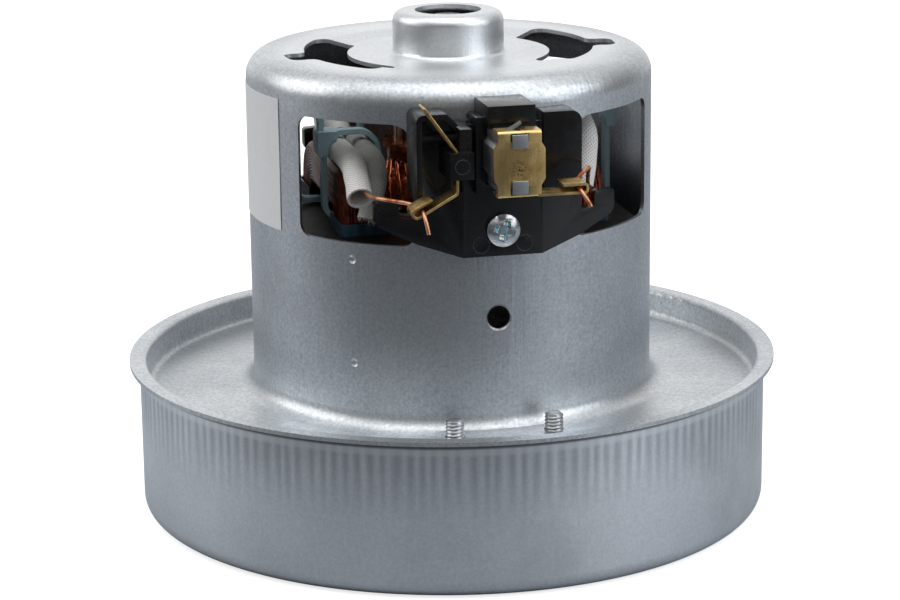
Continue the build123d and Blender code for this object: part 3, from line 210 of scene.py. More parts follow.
lamp_target = Vector((0, 0, 0.05))
for lamp_name, azimuth, elevation, distance, size, power, colour in (
    ("left box", -95, 28, 0.75, 0.6, 1.4, (1.0, 0.99, 0.97)),
    ("right box", 62, 25, 0.75, 0.6, 1.65, (0.93, 0.96, 1.0)),
    ("top box", 10, 78, 0.8, 0.9, 2.2, (1.0, 1.0, 1.0)),
):
    lamp_data = bpy.data.lights.new(lamp_name, "AREA")
    lamp_data.shape = "DISK"
    lamp_data.size = size
    lamp_data.energy = power
    lamp_data.color = colour
    lamp = put_in_scene(lamp_name, lamp_data)
    turn, climb = math.radians(azimuth), math.radians(elevation)
    level_way = Vector((math.sin(turn), -math.cos(turn), 0)) * math.cos(climb)
    outwards = turned @ (level_way + Vector((0, 0, math.sin(climb))))
    lamp.location = lamp_target + outwards * distance
    lamp.rotation_mode = "QUATERNION"
    lamp.rotation_quaternion = outwards.to_track_quat("Z", "Y")


# Motor casing: one deep drawing of galvanised steel sheet, with its shoulder, boss and flange.
# The zinc is grey-blue with a fine grain, stains and specks; the top inside the shoulder is painted paler
# as a painted highlight, and the wall below the shoulder is darker.
def noise(tree, scale, detail=2.0, roughness=0.5, at=None):
    """Fractal noise in the part's frame, or at another vector."""
    return place(
        tree, "TexNoise", Vector=at or object_position(tree),
        Scale=scale, Detail=detail, Roughness=roughness,
    ).outputs["Fac"]


def dress(shader, colour, roughness, metallic=0.0, relief=None):
    """Feeds a Principled shader; relief is a bump's strength, distance and height."""
    tree = shader.id_data
    feed(tree, shader.inputs["Base Color"], colour)
    feed(tree, shader.inputs["Roughness"], roughness)
    shader.inputs["Metallic"].default_value = metallic
    if relief:
        strength, distance, height = relief
        bump = place(tree, "Bump", Strength=strength, Distance=distance, Height=height)
        feed(tree, shader.inputs["Normal"], bump.outputs[0])


def finish_nodes(material, *names):
    """Gives CAD nodes their finish."""
    for name in names:
        nodes[name].data.materials.clear()
        nodes[name].data.materials.append(material)


def repaint(material, layers):
    """Lays more colours over a material's own; layers gives masks and colours from its tree."""
    tree = material.node_tree
    socket = tree.nodes["Principled BSDF"].inputs["Base Color"]
    colour = socket.links[0].from_socket
    for mask, over in layers(tree):
        colour = blend(tree, mask, colour, over)
    tree.links.new(colour, socket)


zinc_group = bpy.data.node_groups.new("zinc sheet", "ShaderNodeTree")
for socket_name in ("Grain", "Draw marks", "Clouds"):
    socket = zinc_group.interface.new_socket(socket_name, in_out="INPUT", socket_type="NodeSocketFloat")
    socket.default_value = 1
for socket_name in ("Tone", "Height"):
    zinc_group.interface.new_socket(socket_name, in_out="OUTPUT", socket_type="NodeSocketFloat")
entry = zinc_group.nodes.new("NodeGroupInput")
leave = zinc_group.nodes.new("NodeGroupOutput")
parts = split(zinc_group)
wall = vector_of(zinc_group, X=compute(zinc_group, "ARCTAN2", parts["Y"], parts["X"]), Y=parts["Z"])
grain = noise(zinc_group, 1500.0, 5.0, 0.75)
lines = noise(zinc_group, 58.0, at=wall)
clouds = noise(zinc_group, 38.0, 3.0, 0.55)
middle_tone = 0.5
weighed = []
for value, weight in ((grain, "Grain"), (lines, "Draw marks"), (clouds, "Clouds")):
    centred = compute(zinc_group, "SUBTRACT", value, middle_tone)
    weighed.append(product(zinc_group, centred, entry.outputs[weight]))
total = compute(zinc_group, "ADD", compute(zinc_group, "ADD", weighed[0], weighed[1]), weighed[2])
tone = place(
    zinc_group, "Math", {"operation": "ADD", "use_clamp": True},
    _0=total, _1=middle_tone,
).outputs[0]
zinc_group.links.new(tone, leave.inputs["Tone"])
zinc_group.links.new(compute(zinc_group, "ADD", grain, lines), leave.inputs["Height"])


def sheet_finish(name, dark, pale, grain, marks, clouds, roughness, bump):
    """Zinc-coated sheet: tone from grain, draw marks and clouds, with a little relief."""
    stain_brown, speck_black = (0.46, 0.43, 0.40), (0.06, 0.06, 0.065)
    material, tree, shader = new_material(name)
    zinc = place(
        tree, "Group", {"node_tree": bpy.data.node_groups["zinc sheet"]},
        Grain=grain, Draw_marks=marks, Clouds=clouds,
    )
    tone = zinc.outputs["Tone"]
    speck = noise(tree, 420.0, 4.0, 0.8)
    stain = noise(tree, 26.0, 4.0, 0.6)
    metal = blend(tree, tone, dark, pale)
    metal = blend(tree, rise(tree, stain, 0.55, 0.72, 0.35), metal, stain_brown)
    metal = blend(tree, rise(tree, speck, 0.74, 0.80, 0.8), metal, speck_black)
    polish = ramp(tree, tone, roughness + 0.09, roughness - 0.07)
    dress(shader, metal, polish, 1.0, (bump, 0.0002, zinc.outputs["Height"]))
    return material


def casing_layers(tree):
    """The top inside the shoulder is painted paler, a painted highlight; the wall below the shoulder is
    darker.
    """
    parts = split(tree)
    level = parts["Z"]
    from_axis = measure(tree, "LENGTH", vector_of(tree, X=parts["X"], Y=parts["Y"]))
    inside = fall(tree, from_axis, 0.0325, 0.0365)
    # Painted highlight: the top inside the shoulder is painted near white.
    top_highlight_and_clean_paper = product(tree, rise(tree, level, 0.091, 0.094, 0.5), inside)
    below = fall(tree, level, 0.085, 0.091)
    # The wall below the shoulder is darker.
    darker_wall = product(tree, rise(tree, level, 0.036, 0.046, 0.25), below)
    return (top_highlight_and_clean_paper, (0.95, 0.97, 0.98)), (darker_wall, (0.25, 0.29, 0.34))


casing_dark, casing_pale = (0.41, 0.45, 0.495), (0.86, 0.885, 0.90)
casing_steel = sheet_finish("casing steel", casing_dark, casing_pale, 2.1, 0.25, 0.8, 0.36, 0.25)
repaint(casing_steel, casing_layers)
finish_nodes(casing_steel, "motor_casing", "bearing_bridge")


# Fan cover: a second drawing, pushed over the flange and rolled under the rim. Rolling leaves
# upright puckers below the rim, painted as darker streaks of painted shade, a dark line of grime in the
# joint and a painted highlight as a paler band under it.
def cover_layers(tree):
    """Painted shade on the puckers below the rim, a painted highlight band over them, the grime; draw
    marks stay high up.
    """
    parts = split(tree)
    level = parts["Z"]
    angle = compute(tree, "ARCTAN2", parts["Y"], parts["X"])
    pucker = place(
        tree, "TexWave",
        Vector=vector_of(tree, X=angle, Y=level),
        Scale=8.4, Distortion=4.0, Detail=3.0, Detail_Scale=1.6,
    ).outputs["Fac"]
    zinc = next(node for node in tree.nodes if node.type == "GROUP")
    feed(tree, zinc.inputs["Draw marks"], ramp(tree, level, 0.1, 0.8, 0.012, 0.026))
    rolled = rise(tree, level, 0.016, 0.0262)
    # Painted shade: the puckers below the rim are painted as darker streaks.
    pucker_shade = product(tree, rolled, ramp(tree, pucker, 0.0, 0.55))
    # Painted highlight: a paler band just under the rim.
    rim_highlight_band = rise(tree, level, 0.0285, 0.0292, 0.6)
    grime = rise(tree, level, 0.0300, 0.0304, 0.9)
    return (
        (pucker_shade, (0.36, 0.38, 0.42)),
        (rim_highlight_band, (0.88, 0.91, 0.94)),
        (grime, (0.12, 0.12, 0.125)),
    )


cover_dark, cover_pale = (0.60, 0.645, 0.70), (0.93, 0.96, 0.985)
cover_steel = sheet_finish("cover steel", cover_dark, cover_pale, 1.3, 0.6, 0.9, 0.34, 0.2)
repaint(cover_steel, cover_layers)
finish_nodes(cover_steel, "fan_cover")


# Bridge screws: four zinc-plated machine screws up through the bridge and the flange.
# Their rolled threads stand clear of the flange pads; their heads are inside the cover.
def finished(mesh, name="form", outward=False):
    """The mesh data of a finished bmesh; outward turns its faces out first."""
    if outward:
        bmesh.ops.recalc_face_normals(mesh, faces=mesh.faces)
    data = bpy.data.meshes.new(name)
    mesh.to_mesh(data)
    mesh.free()
    return data


def bridge_rings(mesh, rings, wrap=False):
    """Quads between neighbouring closed rings of vertices; wrap joins the last to the first."""
    following = rings[1:] + rings[:1] if wrap else rings[1:]
    for lower, upper in zip(rings, following):
        for k, start in enumerate(lower):
            after = (k + 1) % len(lower)
            mesh.faces.new((start, lower[after], upper[after], upper[k]))


def close_ends(mesh, rings):
    """A face over each end of a bridged form."""
    mesh.faces.new(rings[-1])
    mesh.faces.new(list(reversed(rings[0])))


def turned_mesh(profile, sides, centre=(0, 0, 0), thread=None):
    """Lathe form about a vertical axis; a thread (pitch, depth) waves the radius as it climbs."""
    mesh = bmesh.new()
    rings = []
    pitch, depth = thread or (1, 0)
    for radius, level in profile:
        ring = []
        for side in range(sides):
            share = side / sides
            reach = radius - depth * abs(2 * ((level / pitch - share) % 1.0) - 1)
            ring.append(mesh.verts.new(Vector(centre) + around(reach, math.tau * share, level)))
        rings.append(ring)
    bridge_rings(mesh, rings)
    close_ends(mesh, rings)
    return finished(mesh)


def add_piece(name, meshes, material, replaced=(), sharp=40, body="motor_body"):
    """Joins meshes into one piece of the scene, which rides on a body."""
    whole = bmesh.new()
    for part in meshes:
        whole.from_mesh(part)
        bpy.data.meshes.remove(part)
    data = finished(whole, name)
    piece = put_in_scene(name, data)
    data.materials.clear()
    data.materials.append(material)
    for face in data.polygons:
        face.use_smooth = True
    data.set_sharp_from_angle(angle=math.radians(sharp))
    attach(piece, body)
    if replaced:
        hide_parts(*replaced)
    return piece


def plated_finish(name, tint, roughness, grime):
    """Plated or bare steel of the small parts, mottled, and duller where it is dark."""
    material, tree, shader = new_material(name)
    speck = noise(tree, 900.0, 4.0, 0.7)
    cloud = noise(tree, 140.0)
    mask = rise(tree, product(tree, speck, cloud), 0.16, 0.42)
    dark = tuple(c * grime for c in tint)
    polish = ramp(tree, mask, roughness + 0.12, roughness - 0.05)
    dress(shader, blend(tree, mask, dark, tint), polish, 1.0, (0.2, 0.0001, speck))
    return material


screw_radius, screw_sides = 0.0019, 28
screw_pitch, thread_depth, thread_steps = 0.0007, 0.00032, 6
screw_foot, thread_end, screw_tip = 0.0238, 0.0300, 0.0304
tip_profile = [(screw_radius * 0.86, screw_tip - 0.0002), (screw_radius * 0.66, screw_tip)]
head_profile = [(0.0034, 0.0218), (0.0037, 0.0221), (0.0037, 0.0236), (0.0034, 0.0238), (0.0019, 0.0239)]
thread_count = int((thread_end - screw_foot) / screw_pitch * thread_steps) + 1
step_height = screw_pitch / thread_steps
thread_profile = [(screw_radius, screw_foot + step * step_height) for step in range(thread_count)]
screw_shapes = []
for x in (-0.010, 0.010):
    for y in (-0.0455, 0.0455):
        profile = thread_profile + tip_profile
        screw_shapes.append(turned_mesh(profile, screw_sides, (x, y, 0), (screw_pitch, thread_depth)))
        screw_shapes.append(turned_mesh(head_profile, screw_sides, (x, y, 0)))
bridge_screw_steel = plated_finish("bridge screw zinc", (0.66, 0.68, 0.70), 0.3, 0.45)
add_piece(
    "threaded_bridge_screws", screw_shapes, bridge_screw_steel,
    ("bridge_screws",), 60,
)


# Holder screws: two pan-head screws with a cross recess, one under each brush tube.
# Bright zinc with a slightly blued recess, driven through the plate into the casing wall.
def cross_recess_head(way, axis_level):
    """Domed head as a fine polar grid, with the flared cross pressed into it."""
    head_radius, seat, crown = 0.0033, 0.0450, 0.0470
    dome_drop, dome_power, edge_share = 0.55, 2.6, 0.12
    cross_reach, arm_width, arm_flare = 0.0021, 0.00046, 0.17
    cross_depth, side_blend, end_blend = 0.00135, 0.00012, 0.0011
    cross_lean = math.radians(18)
    spokes, ring_count = 120, 46
    mesh = bmesh.new()
    rings = []
    for step in range(ring_count + 1):
        share = step / ring_count * (1 + edge_share)
        radius = head_radius * min(1.0, share)
        dome = (crown - seat) * (1 - dome_drop * min(1.0, share) ** dome_power)
        if share > 1.0:
            dome *= 1 - min(1.0, (share - 1.0) / edge_share)
        ring = []
        for spoke in range(spokes):
            spun = math.tau * spoke / spokes
            u, v = radius * math.cos(spun + cross_lean), radius * math.sin(spun + cross_lean)
            depth = 0.0
            for along, across in ((u, v), (v, u)):
                slot_width = arm_width + arm_flare * max(0.0, cross_reach - abs(along))
                side_fall = max(0.0, 1 - max(0.0, abs(across) - slot_width) / side_blend)
                end_fall = max(0.0, min(1.0, (cross_reach - abs(along)) / end_blend))
                depth = max(depth, cross_depth * side_fall * end_fall ** 0.6)
            x, z = radius * math.cos(spun), radius * math.sin(spun)
            ring.append(mesh.verts.new((way * x, -way * (seat + dome - depth), axis_level + z)))
        rings.append(ring)
    bridge_rings(mesh, rings)
    bmesh.ops.remove_doubles(mesh, verts=mesh.verts, dist=1e-7)
    mesh.faces.new(rings[-1])
    return finished(mesh, outward=True)


def shank(way, axis_level):
    """The screw's body from the head to its point, level along the brush's way."""
    point = 0.0351
    profile = [(0.0004, 0.0), (0.0013, 0.0012), (0.0014, 0.0016), (0.0014, 0.0100)]
    data = turned_mesh(profile, 24)
    data.transform(Matrix.Rotation(math.radians(90 * way), 4, "X"))
    data.transform(Matrix.Translation((0, -way * point, axis_level)))
    return data


def distance_in_front_view(tree, axis_level):
    """How far a point lies from a level axis along Y, as seen from the front."""
    parts = split(tree)
    height = compute(tree, "SUBTRACT", parts["Z"], axis_level)
    return measure(tree, "LENGTH", vector_of(tree, X=parts["X"], Y=height))


def recess_layer(tree):
    """The blued walls of the cross: below the crown and near the screw's axis."""
    sunk = fall(tree, compute(tree, "ABSOLUTE", split(tree)["Y"]), 0.0464, 0.0467)
    near = fall(tree, distance_in_front_view(tree, holder_screw_level), 0.0019, 0.0022)
    in_cross = product(tree, sunk, near)
    return ((in_cross, (0.62, 0.78, 0.84)),)


holder_screw_level = 0.0677
holder_screw_steel = plated_finish("holder screw zinc", (0.80, 0.82, 0.85), 0.13, 0.55)
repaint(holder_screw_steel, recess_layer)
made = [cross_recess_head(way, holder_screw_level) for way in (1, -1)]
made += [shank(way, holder_screw_level) for way in (1, -1)]
add_piece("pan_head_screws", made, holder_screw_steel, ("holder_screws",), 50)


# Brush tubes and caps: the tube is folded from thin steel, dull from the press; the cap and the
# power terminal are brass, bright between brown tarnish on the flats; the cap's bright margin is a painted
# highlight.
def eased_copy(
    node_name, width, material, segments=2, sharp=35, rounded=None, body="motor_body",
):
    """A CAD node's own shape with its edges broken, as pressed or moulded parts have."""
    flat_angle, smooth_angle = math.radians(0.5), 50
    whole = bmesh.new()
    whole.from_mesh(nodes[node_name].data)
    bmesh.ops.remove_doubles(whole, verts=whole.verts, dist=1e-6)
    bmesh.ops.dissolve_limit(whole, angle_limit=flat_angle, verts=whole.verts, edges=whole.edges)
    if rounded:
        chosen, bend = rounded
        edges = [edge for edge in whole.edges if chosen(edge)]
        bmesh.ops.bevel(
            whole, geom=edges, offset=bend, segments=5, profile=0.5,
            affect="EDGES", clamp_overlap=True,
        )
    least = math.radians(sharp)
    edges = [edge for edge in whole.edges if len(edge.link_faces) == 2 and edge.calc_face_angle(0) > least]
    bmesh.ops.bevel(
        whole, geom=edges, offset=width, segments=segments, profile=0.6,
        affect="EDGES", clamp_overlap=True,
    )
    name = "eased_" + node_name.replace("_side", "")
    add_piece(name, [finished(whole)], material, (node_name,), smooth_angle, body)


def corner_edge(edge):
    """A tube's long outer corners, which are folded and not cut."""
    least_fold, least_length, half_width, half_height = math.radians(20), 0.02, 0.0034, 0.0030
    if len(edge.link_faces) != 2 or edge.calc_face_angle(0) <= least_fold:
        return False
    ends = [vertex.co for vertex in edge.verts]
    outside = all(abs(end.x) > half_width and abs(end.z - brush_level) > half_height for end in ends)
    return outside and abs(ends[0].y - ends[1].y) > least_length


def brass_finish(name):
    """Pressed brass with brown tarnish clouds and fine scratches."""
    material, tree, shader = new_material(name)
    cloud = noise(tree, 260.0, 5.0, 0.65)
    stretched = place(tree, "Mapping", Vector=object_position(tree), Scale=(1, 1, 0.12)).outputs[0]
    scratch = noise(tree, 2600.0, at=stretched)
    tarnish = rise(tree, cloud, 0.40, 0.64)
    bright = blend(tree, scratch, (0.66, 0.44, 0.15), (0.90, 0.66, 0.30))
    metal = blend(tree, tarnish, bright, (0.34, 0.21, 0.075))
    dress(shader, metal, ramp(tree, tarnish, 0.24, 0.5), 1.0, (0.25, 0.00008, scratch))
    return material


def cap_layers(tree):
    """A cap's margin painted bright, a painted highlight, and the pitted ring of the punch that set its
    middle.
    """
    from_punch = distance_in_front_view(tree, punch_level)
    pits = noise(tree, 2100.0, 3.0)
    # Painted highlight: the margin round the cap is painted bright.
    margin_highlight = rise(tree, from_punch, 0.0036, 0.0062, 0.75)
    struck = fall(tree, from_punch, 0.0004, 0.0022)
    punched = product(tree, struck, rise(tree, pits, 0.45, 0.62))
    return (margin_highlight, (0.93, 0.68, 0.30)), (punched, (0.09, 0.052, 0.022))


def curled_tab(way):
    """A sliver of the tube's top wall left standing when it was sheared, curled up and over."""
    foot, reach, curl = Vector((-0.0033, 0.0557, 0.08878)), Vector((0.0040, 0.0009, 0.0019)), 1.6
    half_width, taper, lean, thickness = 0.0009, 0.00025, 0.0001, 0.0004
    steps = 8
    mesh = bmesh.new()
    rings = []
    for step in range(steps + 1):
        share = step / steps
        x, y = foot.x + reach.x * share, foot.y + reach.y * share
        z = foot.z + reach.z * share ** curl
        half = half_width - taper * share
        corners = ((0, -half, 0), (0, half, 0), (-lean, half, thickness), (-lean, -half, thickness))
        rings.append([mesh.verts.new((way * (x + dx), -way * (y + dy), z + dz)) for dx, dy, dz in corners])
    bridge_rings(mesh, rings)
    close_ends(mesh, rings)
    return finished(mesh, outward=True)


brush_level = 0.0832
punch_level = 0.0823
tube_steel = plated_finish("brush tube steel", (0.56, 0.575, 0.59), 0.36, 0.7)
contact_brass = brass_finish("contact brass")
cap_brass = brass_finish("punched brass")
repaint(cap_brass, cap_layers)
for side in ("front", "rear"):
    eased_copy(f"brush_tube_{side}", 0.00008, tube_steel, rounded=(corner_edge, 0.0004))
    eased_copy(f"brush_cap_{side}", 0.00012, cap_brass)
    eased_copy(f"power_terminal_{side}", 0.0001, contact_brass)
add_piece("curled_tube_tabs", [curled_tab(way) for way in (1, -1)], tube_steel)


# Carbon brushes: pressed copper-graphite blocks, dull black with a grey rubbed face.
# A round spring pushes each one in, and a braided copper shunt joins it to the cap.
def plain_material(name, scale, detail, coarseness, start, end, first, second, roughness):
    """One noise that mottles two colours and gives the surface its relief."""
    material, tree, shader = new_material(name)
    grain = noise(tree, scale, detail, coarseness)
    colour = blend(tree, rise(tree, grain, start, end), first, second)
    dress(shader, colour, roughness, relief=(0.3, 0.0001, grain))
    return material


pressed_carbon = plain_material(
    "pressed carbon", 1800.0, 4.0, 0.7, 0.4, 0.7,
    (0.018, 0.018, 0.02), (0.075, 0.07, 0.068), 0.62,
)
finish_nodes(pressed_carbon, "carbon_brush_front", "carbon_brush_rear")


def smooth_line(points):
    """Points along a smooth curve that follows control points and meets the first and last."""
    curve = bpy.data.curves.new("route", "CURVE")
    curve.dimensions = "3D"
    curve.resolution_u = 12
    spline = curve.splines.new("NURBS")
    spline.points.add(len(points) - 1)
    for control, point in zip(spline.points, points):
        control.co = (*point, 1)
    spline.order_u = 3
    spline.use_endpoint_u = True
    carrier = bpy.data.objects.new("route", curve)
    line_mesh = bpy.data.meshes.new_from_object(carrier)
    line = [vertex.co.copy() for vertex in line_mesh.vertices]
    bpy.data.meshes.remove(line_mesh)
    bpy.data.objects.remove(carrier)
    bpy.data.curves.remove(curve)
    return line


def thread_tube(points, radius, sides=10, wall=0.0, wave=None):
    """Tube mesh along a smooth line, with an unrolled UV map; a wall leaves it open and hollow."""
    line = smooth_line(points)
    last = len(line) - 1
    tangents = [(line[min(i + 1, last)] - line[max(i - 1, 0)]).normalized() for i in range(last + 1)]
    side_way = tangents[0].orthogonal().normalized()
    run, lengths, frames = 0.0, [], []
    for i, (spot, tangent) in enumerate(zip(line, tangents)):
        side_way = (side_way - tangent * side_way.dot(tangent)).normalized()
        frames.append((spot, side_way, tangent.cross(side_way)))
        run += (spot - line[i - 1]).length if i else 0.0
        lengths.append(run)
    mesh = bmesh.new()
    uv = mesh.loops.layers.uv.new("unrolled")
    shells = []
    for shell_radius in ((radius, radius - wall) if wall else (radius,)):
        rings = []
        for (spot, way_a, way_b), at in zip(frames, lengths):
            ring = []
            for side in range(sides):
                turn = math.tau * side / sides
                reach = shell_radius * (1 + (wave(at / run, turn) if wave else 0.0))
                out = way_a * math.cos(turn) + way_b * math.sin(turn)
                ring.append(mesh.verts.new(spot + out * reach))
            rings.append(ring)
        shells.append(rings)
    for shell, rings in enumerate(shells):
        for i in range(last):
            for side in range(sides):
                after = (side + 1) % sides
                corners = [(i, side), (i, after), (i + 1, after), (i + 1, side)]
                if shell:
                    corners.reverse()
                face = mesh.faces.new([rings[r][c] for r, c in corners])
                for loop, (r, c) in zip(face.loops, corners):
                    column = sides if c == 0 and side == sides - 1 else c
                    loop[uv].uv = (lengths[r], column / sides * math.tau * radius)
    if wall:
        outer, inner = shells
        for end in (0, -1):
            for side in range(sides):
                after = (side + 1) % sides
                quad = [outer[end][side], outer[end][after], inner[end][after], inner[end][side]]
                mesh.faces.new(quad if end else list(reversed(quad)))
    else:
        close_ends(mesh, shells[0])
    return finished(mesh)


spring_turns = 11
spring_radius = 0.0021
spring_start, spring_length = 0.0400, 0.0174
shunt_start, shunt_length, shunt_slack = 0.0398, 0.0179, 0.0003
spring_steel = plated_finish("spring wire", (0.55, 0.55, 0.56), 0.25, 0.6)
shunt_copper, tree, shader = new_material("copper braid")
weave = place(
    tree, "TexWave", {"bands_direction": "DIAGONAL"},
    Vector=place(tree, "TexCoord").outputs["UV"], Scale=900.0, Distortion=1.0,
).outputs["Fac"]
braid_colour = blend(tree, weave, (0.30, 0.11, 0.05), (0.80, 0.42, 0.24))
dress(shader, braid_colour, 0.42, 1.0, (0.5, 0.0001, weave))
for side, way in (("front", -1), ("rear", 1)):
    coil = []
    for k in range(8 * spring_turns + 1):
        turn = k * math.tau / 8
        y = way * (spring_start + k * spring_length / (8 * spring_turns))
        coil.append((spring_radius * math.cos(turn), y, brush_level + spring_radius * math.sin(turn)))
    spring = add_piece(
        f"wound_spring_{side}", [thread_tube(coil, 0.00035, 8)], spring_steel,
        (f"brush_spring_{side}",),
    )
    braid = []
    for k in range(9):
        y = way * (shunt_start + k * shunt_length / 8)
        braid.append((shunt_slack * math.sin(k), y, brush_level + shunt_slack * math.cos(k * 1.3)))
    shunt = add_piece(
        f"braided_shunt_{side}", [thread_tube(braid, 0.00065)], shunt_copper,
        (f"brush_shunt_{side}",),
    )
    for piece in (spring, shunt):
        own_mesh(piece)


# Brush holders: one black thermoset moulding on each side of the casing, with wings that reach
# into the windows. The surface is smooth and slightly dusty, with round ejector marks.
def moulding_finish(name, colour, dusty, roughness, dust_level, coarse=220.0):
    """Moulded plastic: faint orange peel, and a little pale dust that gathers in clouds."""
    material, tree, shader = new_material(name)
    peel = noise(tree, 1100.0, 3.0, 0.6)
    cloud = noise(tree, coarse, 5.0, 0.7)
    speck = noise(tree, 3200.0)
    settled = product(tree, rise(tree, cloud, 0.45, 0.75), rise(tree, speck, 0.5, 0.72))
    dust = ramp(tree, settled, 0.0, dust_level)
    polish = ramp(tree, cloud, roughness - 0.06, roughness + 0.1, 0.3, 0.7)
    dress(shader, blend(tree, dust, colour, dusty), polish, relief=(0.12, 0.0002, peel))
    return material


def ring_mark(x, z, depth, radius, way):
    """Raised hairline ring left by an ejector pin, on a face that looks along the brush."""
    steps = 24
    section = ((-0.00014, -0.00005), (-0.00006, 0.00012), (0.00006, 0.00012), (0.00014, -0.00005))
    mesh = bmesh.new()
    rings = []
    for step in range(steps):
        turn = math.tau * step / steps
        out = Vector((way * math.cos(turn), 0, math.sin(turn)))
        spot = Vector((way * x, -way * depth, z)) + out * radius
        rings.append([mesh.verts.new(spot + out * a + Vector((0, -way * b, 0))) for a, b in section])
    bridge_rings(mesh, rings, wrap=True)
    return finished(mesh, outward=True)


holder_black = moulding_finish("holder moulding", (0.0055, 0.0055, 0.006), (0.10, 0.10, 0.10), 0.2, 0.35)
# Painted highlight: the ejector rings are a paler black than the moulding, so they show as light circles.
ejector_ring_highlight = moulding_finish("ejector ring highlight moulding", (0.05, 0.05, 0.052), (0.16, 0.16, 0.16), 0.25, 0.5)
ejector_marks = (
    (-0.0043, 0.0648, 0.0450, 0.0016),
    (0.0043, 0.0648, 0.0450, 0.0016),
    (-0.0097, 0.0821, 0.0530, 0.0014),
)
for side in ("front", "rear"):
    eased_copy(f"brush_holder_{side}", 0.00022, holder_black, sharp=30)
for side, way in (("front", 1), ("rear", -1)):
    marks = [ring_mark(*mark, way) for mark in ejector_marks]
    add_piece(f"ejector_marks_{side}", marks, ejector_ring_highlight)


# Lead sleeves: white braided glass sleeves slid over the coil leads, cut with scissors so the
# ends fray. The grey one is older and torn, with its threads hanging out.
def braid_finish(name, pale, shadow, stain, stain_level):
    """Braided glass yarn: crossed helical yarns on the unrolled tube, stained in patches."""
    yarn_slope = 0.72
    material, tree, shader = new_material(name)
    unrolled = place(tree, "TexCoord").outputs["UV"]
    heights = []
    for slope in (yarn_slope, -yarn_slope):
        sloped = place(tree, "Mapping", Vector=unrolled, Rotation=(0, 0, slope)).outputs[0]
        yarns = place(tree, "TexWave", Vector=sloped, Scale=600.0, Distortion=0.6)
        heights.append(yarns.outputs["Fac"])
    crossed = compute(tree, "MAXIMUM", heights[0], heights[1])
    cloud = noise(tree, 170.0, 4.0, 0.6)
    yarn = blend(tree, rise(tree, crossed, 0.35, 0.95), shadow, pale)
    patch = rise(tree, cloud, 0.5, 0.72, stain_level)
    dress(shader, blend(tree, patch, yarn, stain), 0.82, relief=(0.45, 0.00015, crossed))
    shader.inputs["Sheen Weight"].default_value = 0.25
    return material


def half_turned(points):
    """The same route at the rear brush."""
    return [(-x, -y, z) for x, y, z in points]


def slack_wave(seed, depth):
    """Soft dents along a loose sleeve."""
    source = random.Random(seed)
    phases = [source.uniform(0, math.tau) for _ in range(4)]

    def wave(share, turn):
        broad = math.sin(5 * share * math.pi + phases[0]) * math.cos(2 * turn + phases[1])
        close = math.sin(11 * share * math.pi + phases[2]) * math.cos(turn + phases[3])
        return depth * (broad * 0.6 + close * 0.4)
    return wave


def frayed_end(route, radius, length, seed):
    """Loose yarns at a cut sleeve end: thin tapering slivers that lean off the tube's line."""
    count, overlap, thickness = 26, 0.0002, 0.00012
    source = random.Random(seed)
    mouth = Vector(route[-1])
    way = (mouth - Vector(route[-2])).normalized()
    side_way = way.orthogonal().normalized()
    other = way.cross(side_way)
    mesh = bmesh.new()
    for k in range(count):
        turn = math.tau * k / count + source.uniform(-0.15, 0.15)
        out = side_way * math.cos(turn) + other * math.sin(turn)
        sideways = way.cross(out)
        root = mouth + out * radius * source.uniform(0.9, 1.0) - way * overlap
        lean = way + out * source.uniform(-0.25, 0.45) + sideways * source.uniform(-0.5, 0.5)
        reach = length * source.uniform(0.35, 1.0)
        across = sideways * source.uniform(0.00012, 0.0003)
        corners = (root - across, root + across, root + out * thickness, root + lean.normalized() * reach)
        a, b, c, d = (mesh.verts.new(corner) for corner in corners)
        for face in ((a, b, d), (b, c, d), (c, a, d), (a, c, b)):
            mesh.faces.new(face)
    return finished(mesh)


white_braid = braid_finish("white braid", (0.90, 0.89, 0.87), (0.55, 0.54, 0.52), (0.66, 0.60, 0.50), 0.3)
grey_braid = braid_finish("torn braid", (0.50, 0.50, 0.47), (0.33, 0.33, 0.31), (0.22, 0.20, 0.16), 0.8)
terminal_route = (
    (-0.0249, -0.0009, 0.0776), (-0.0249, -0.0140, 0.0776), (-0.0247, -0.0225, 0.0776),
    (-0.0252, -0.0285, 0.0757), (-0.0256, -0.0336, 0.0729),
)
torn_route = (
    (-0.0200, -0.0009, 0.0774), (-0.0200, -0.0140, 0.0774), (-0.0198, -0.0210, 0.0767),
    (-0.0212, -0.0264, 0.0728), (-0.0229, -0.0279, 0.0672),
)
bulged_route = (
    (0.0226, -0.0009, 0.0779), (0.0223, -0.0090, 0.0802), (0.0217, -0.0180, 0.0848),
    (0.0219, -0.0262, 0.0820), (0.0206, -0.0290, 0.0770), (0.0196, -0.0306, 0.0722),
)
sleeve_wall, dent_depth, yarn_inset = 0.00042, 0.045, 0.0002
for sleeve_name, lead_name, route, radius, fray, slot_name, material, seed in (
    ("terminal_sleeve", "terminal", terminal_route, 0.0025, 0.0004, "sleeve_braid", white_braid, 3),
    ("torn_sleeve", "torn", torn_route, 0.00225, 0.0018, "torn_braid", grey_braid, 8),
    ("bulged_sleeve", "brush", bulged_route, 0.0026, 0.0004, "sleeve_braid", white_braid, 5),
):
    made = []
    for points in (route, half_turned(route)):
        wave = slack_wave(seed, dent_depth)
        made.append(thread_tube(points, radius, 32, wall=sleeve_wall, wave=wave))
        made.append(frayed_end(points, radius - yarn_inset, fray, seed))
    add_piece(sleeve_name, made, material, (f"{lead_name}_lead_sleeves",), 60)


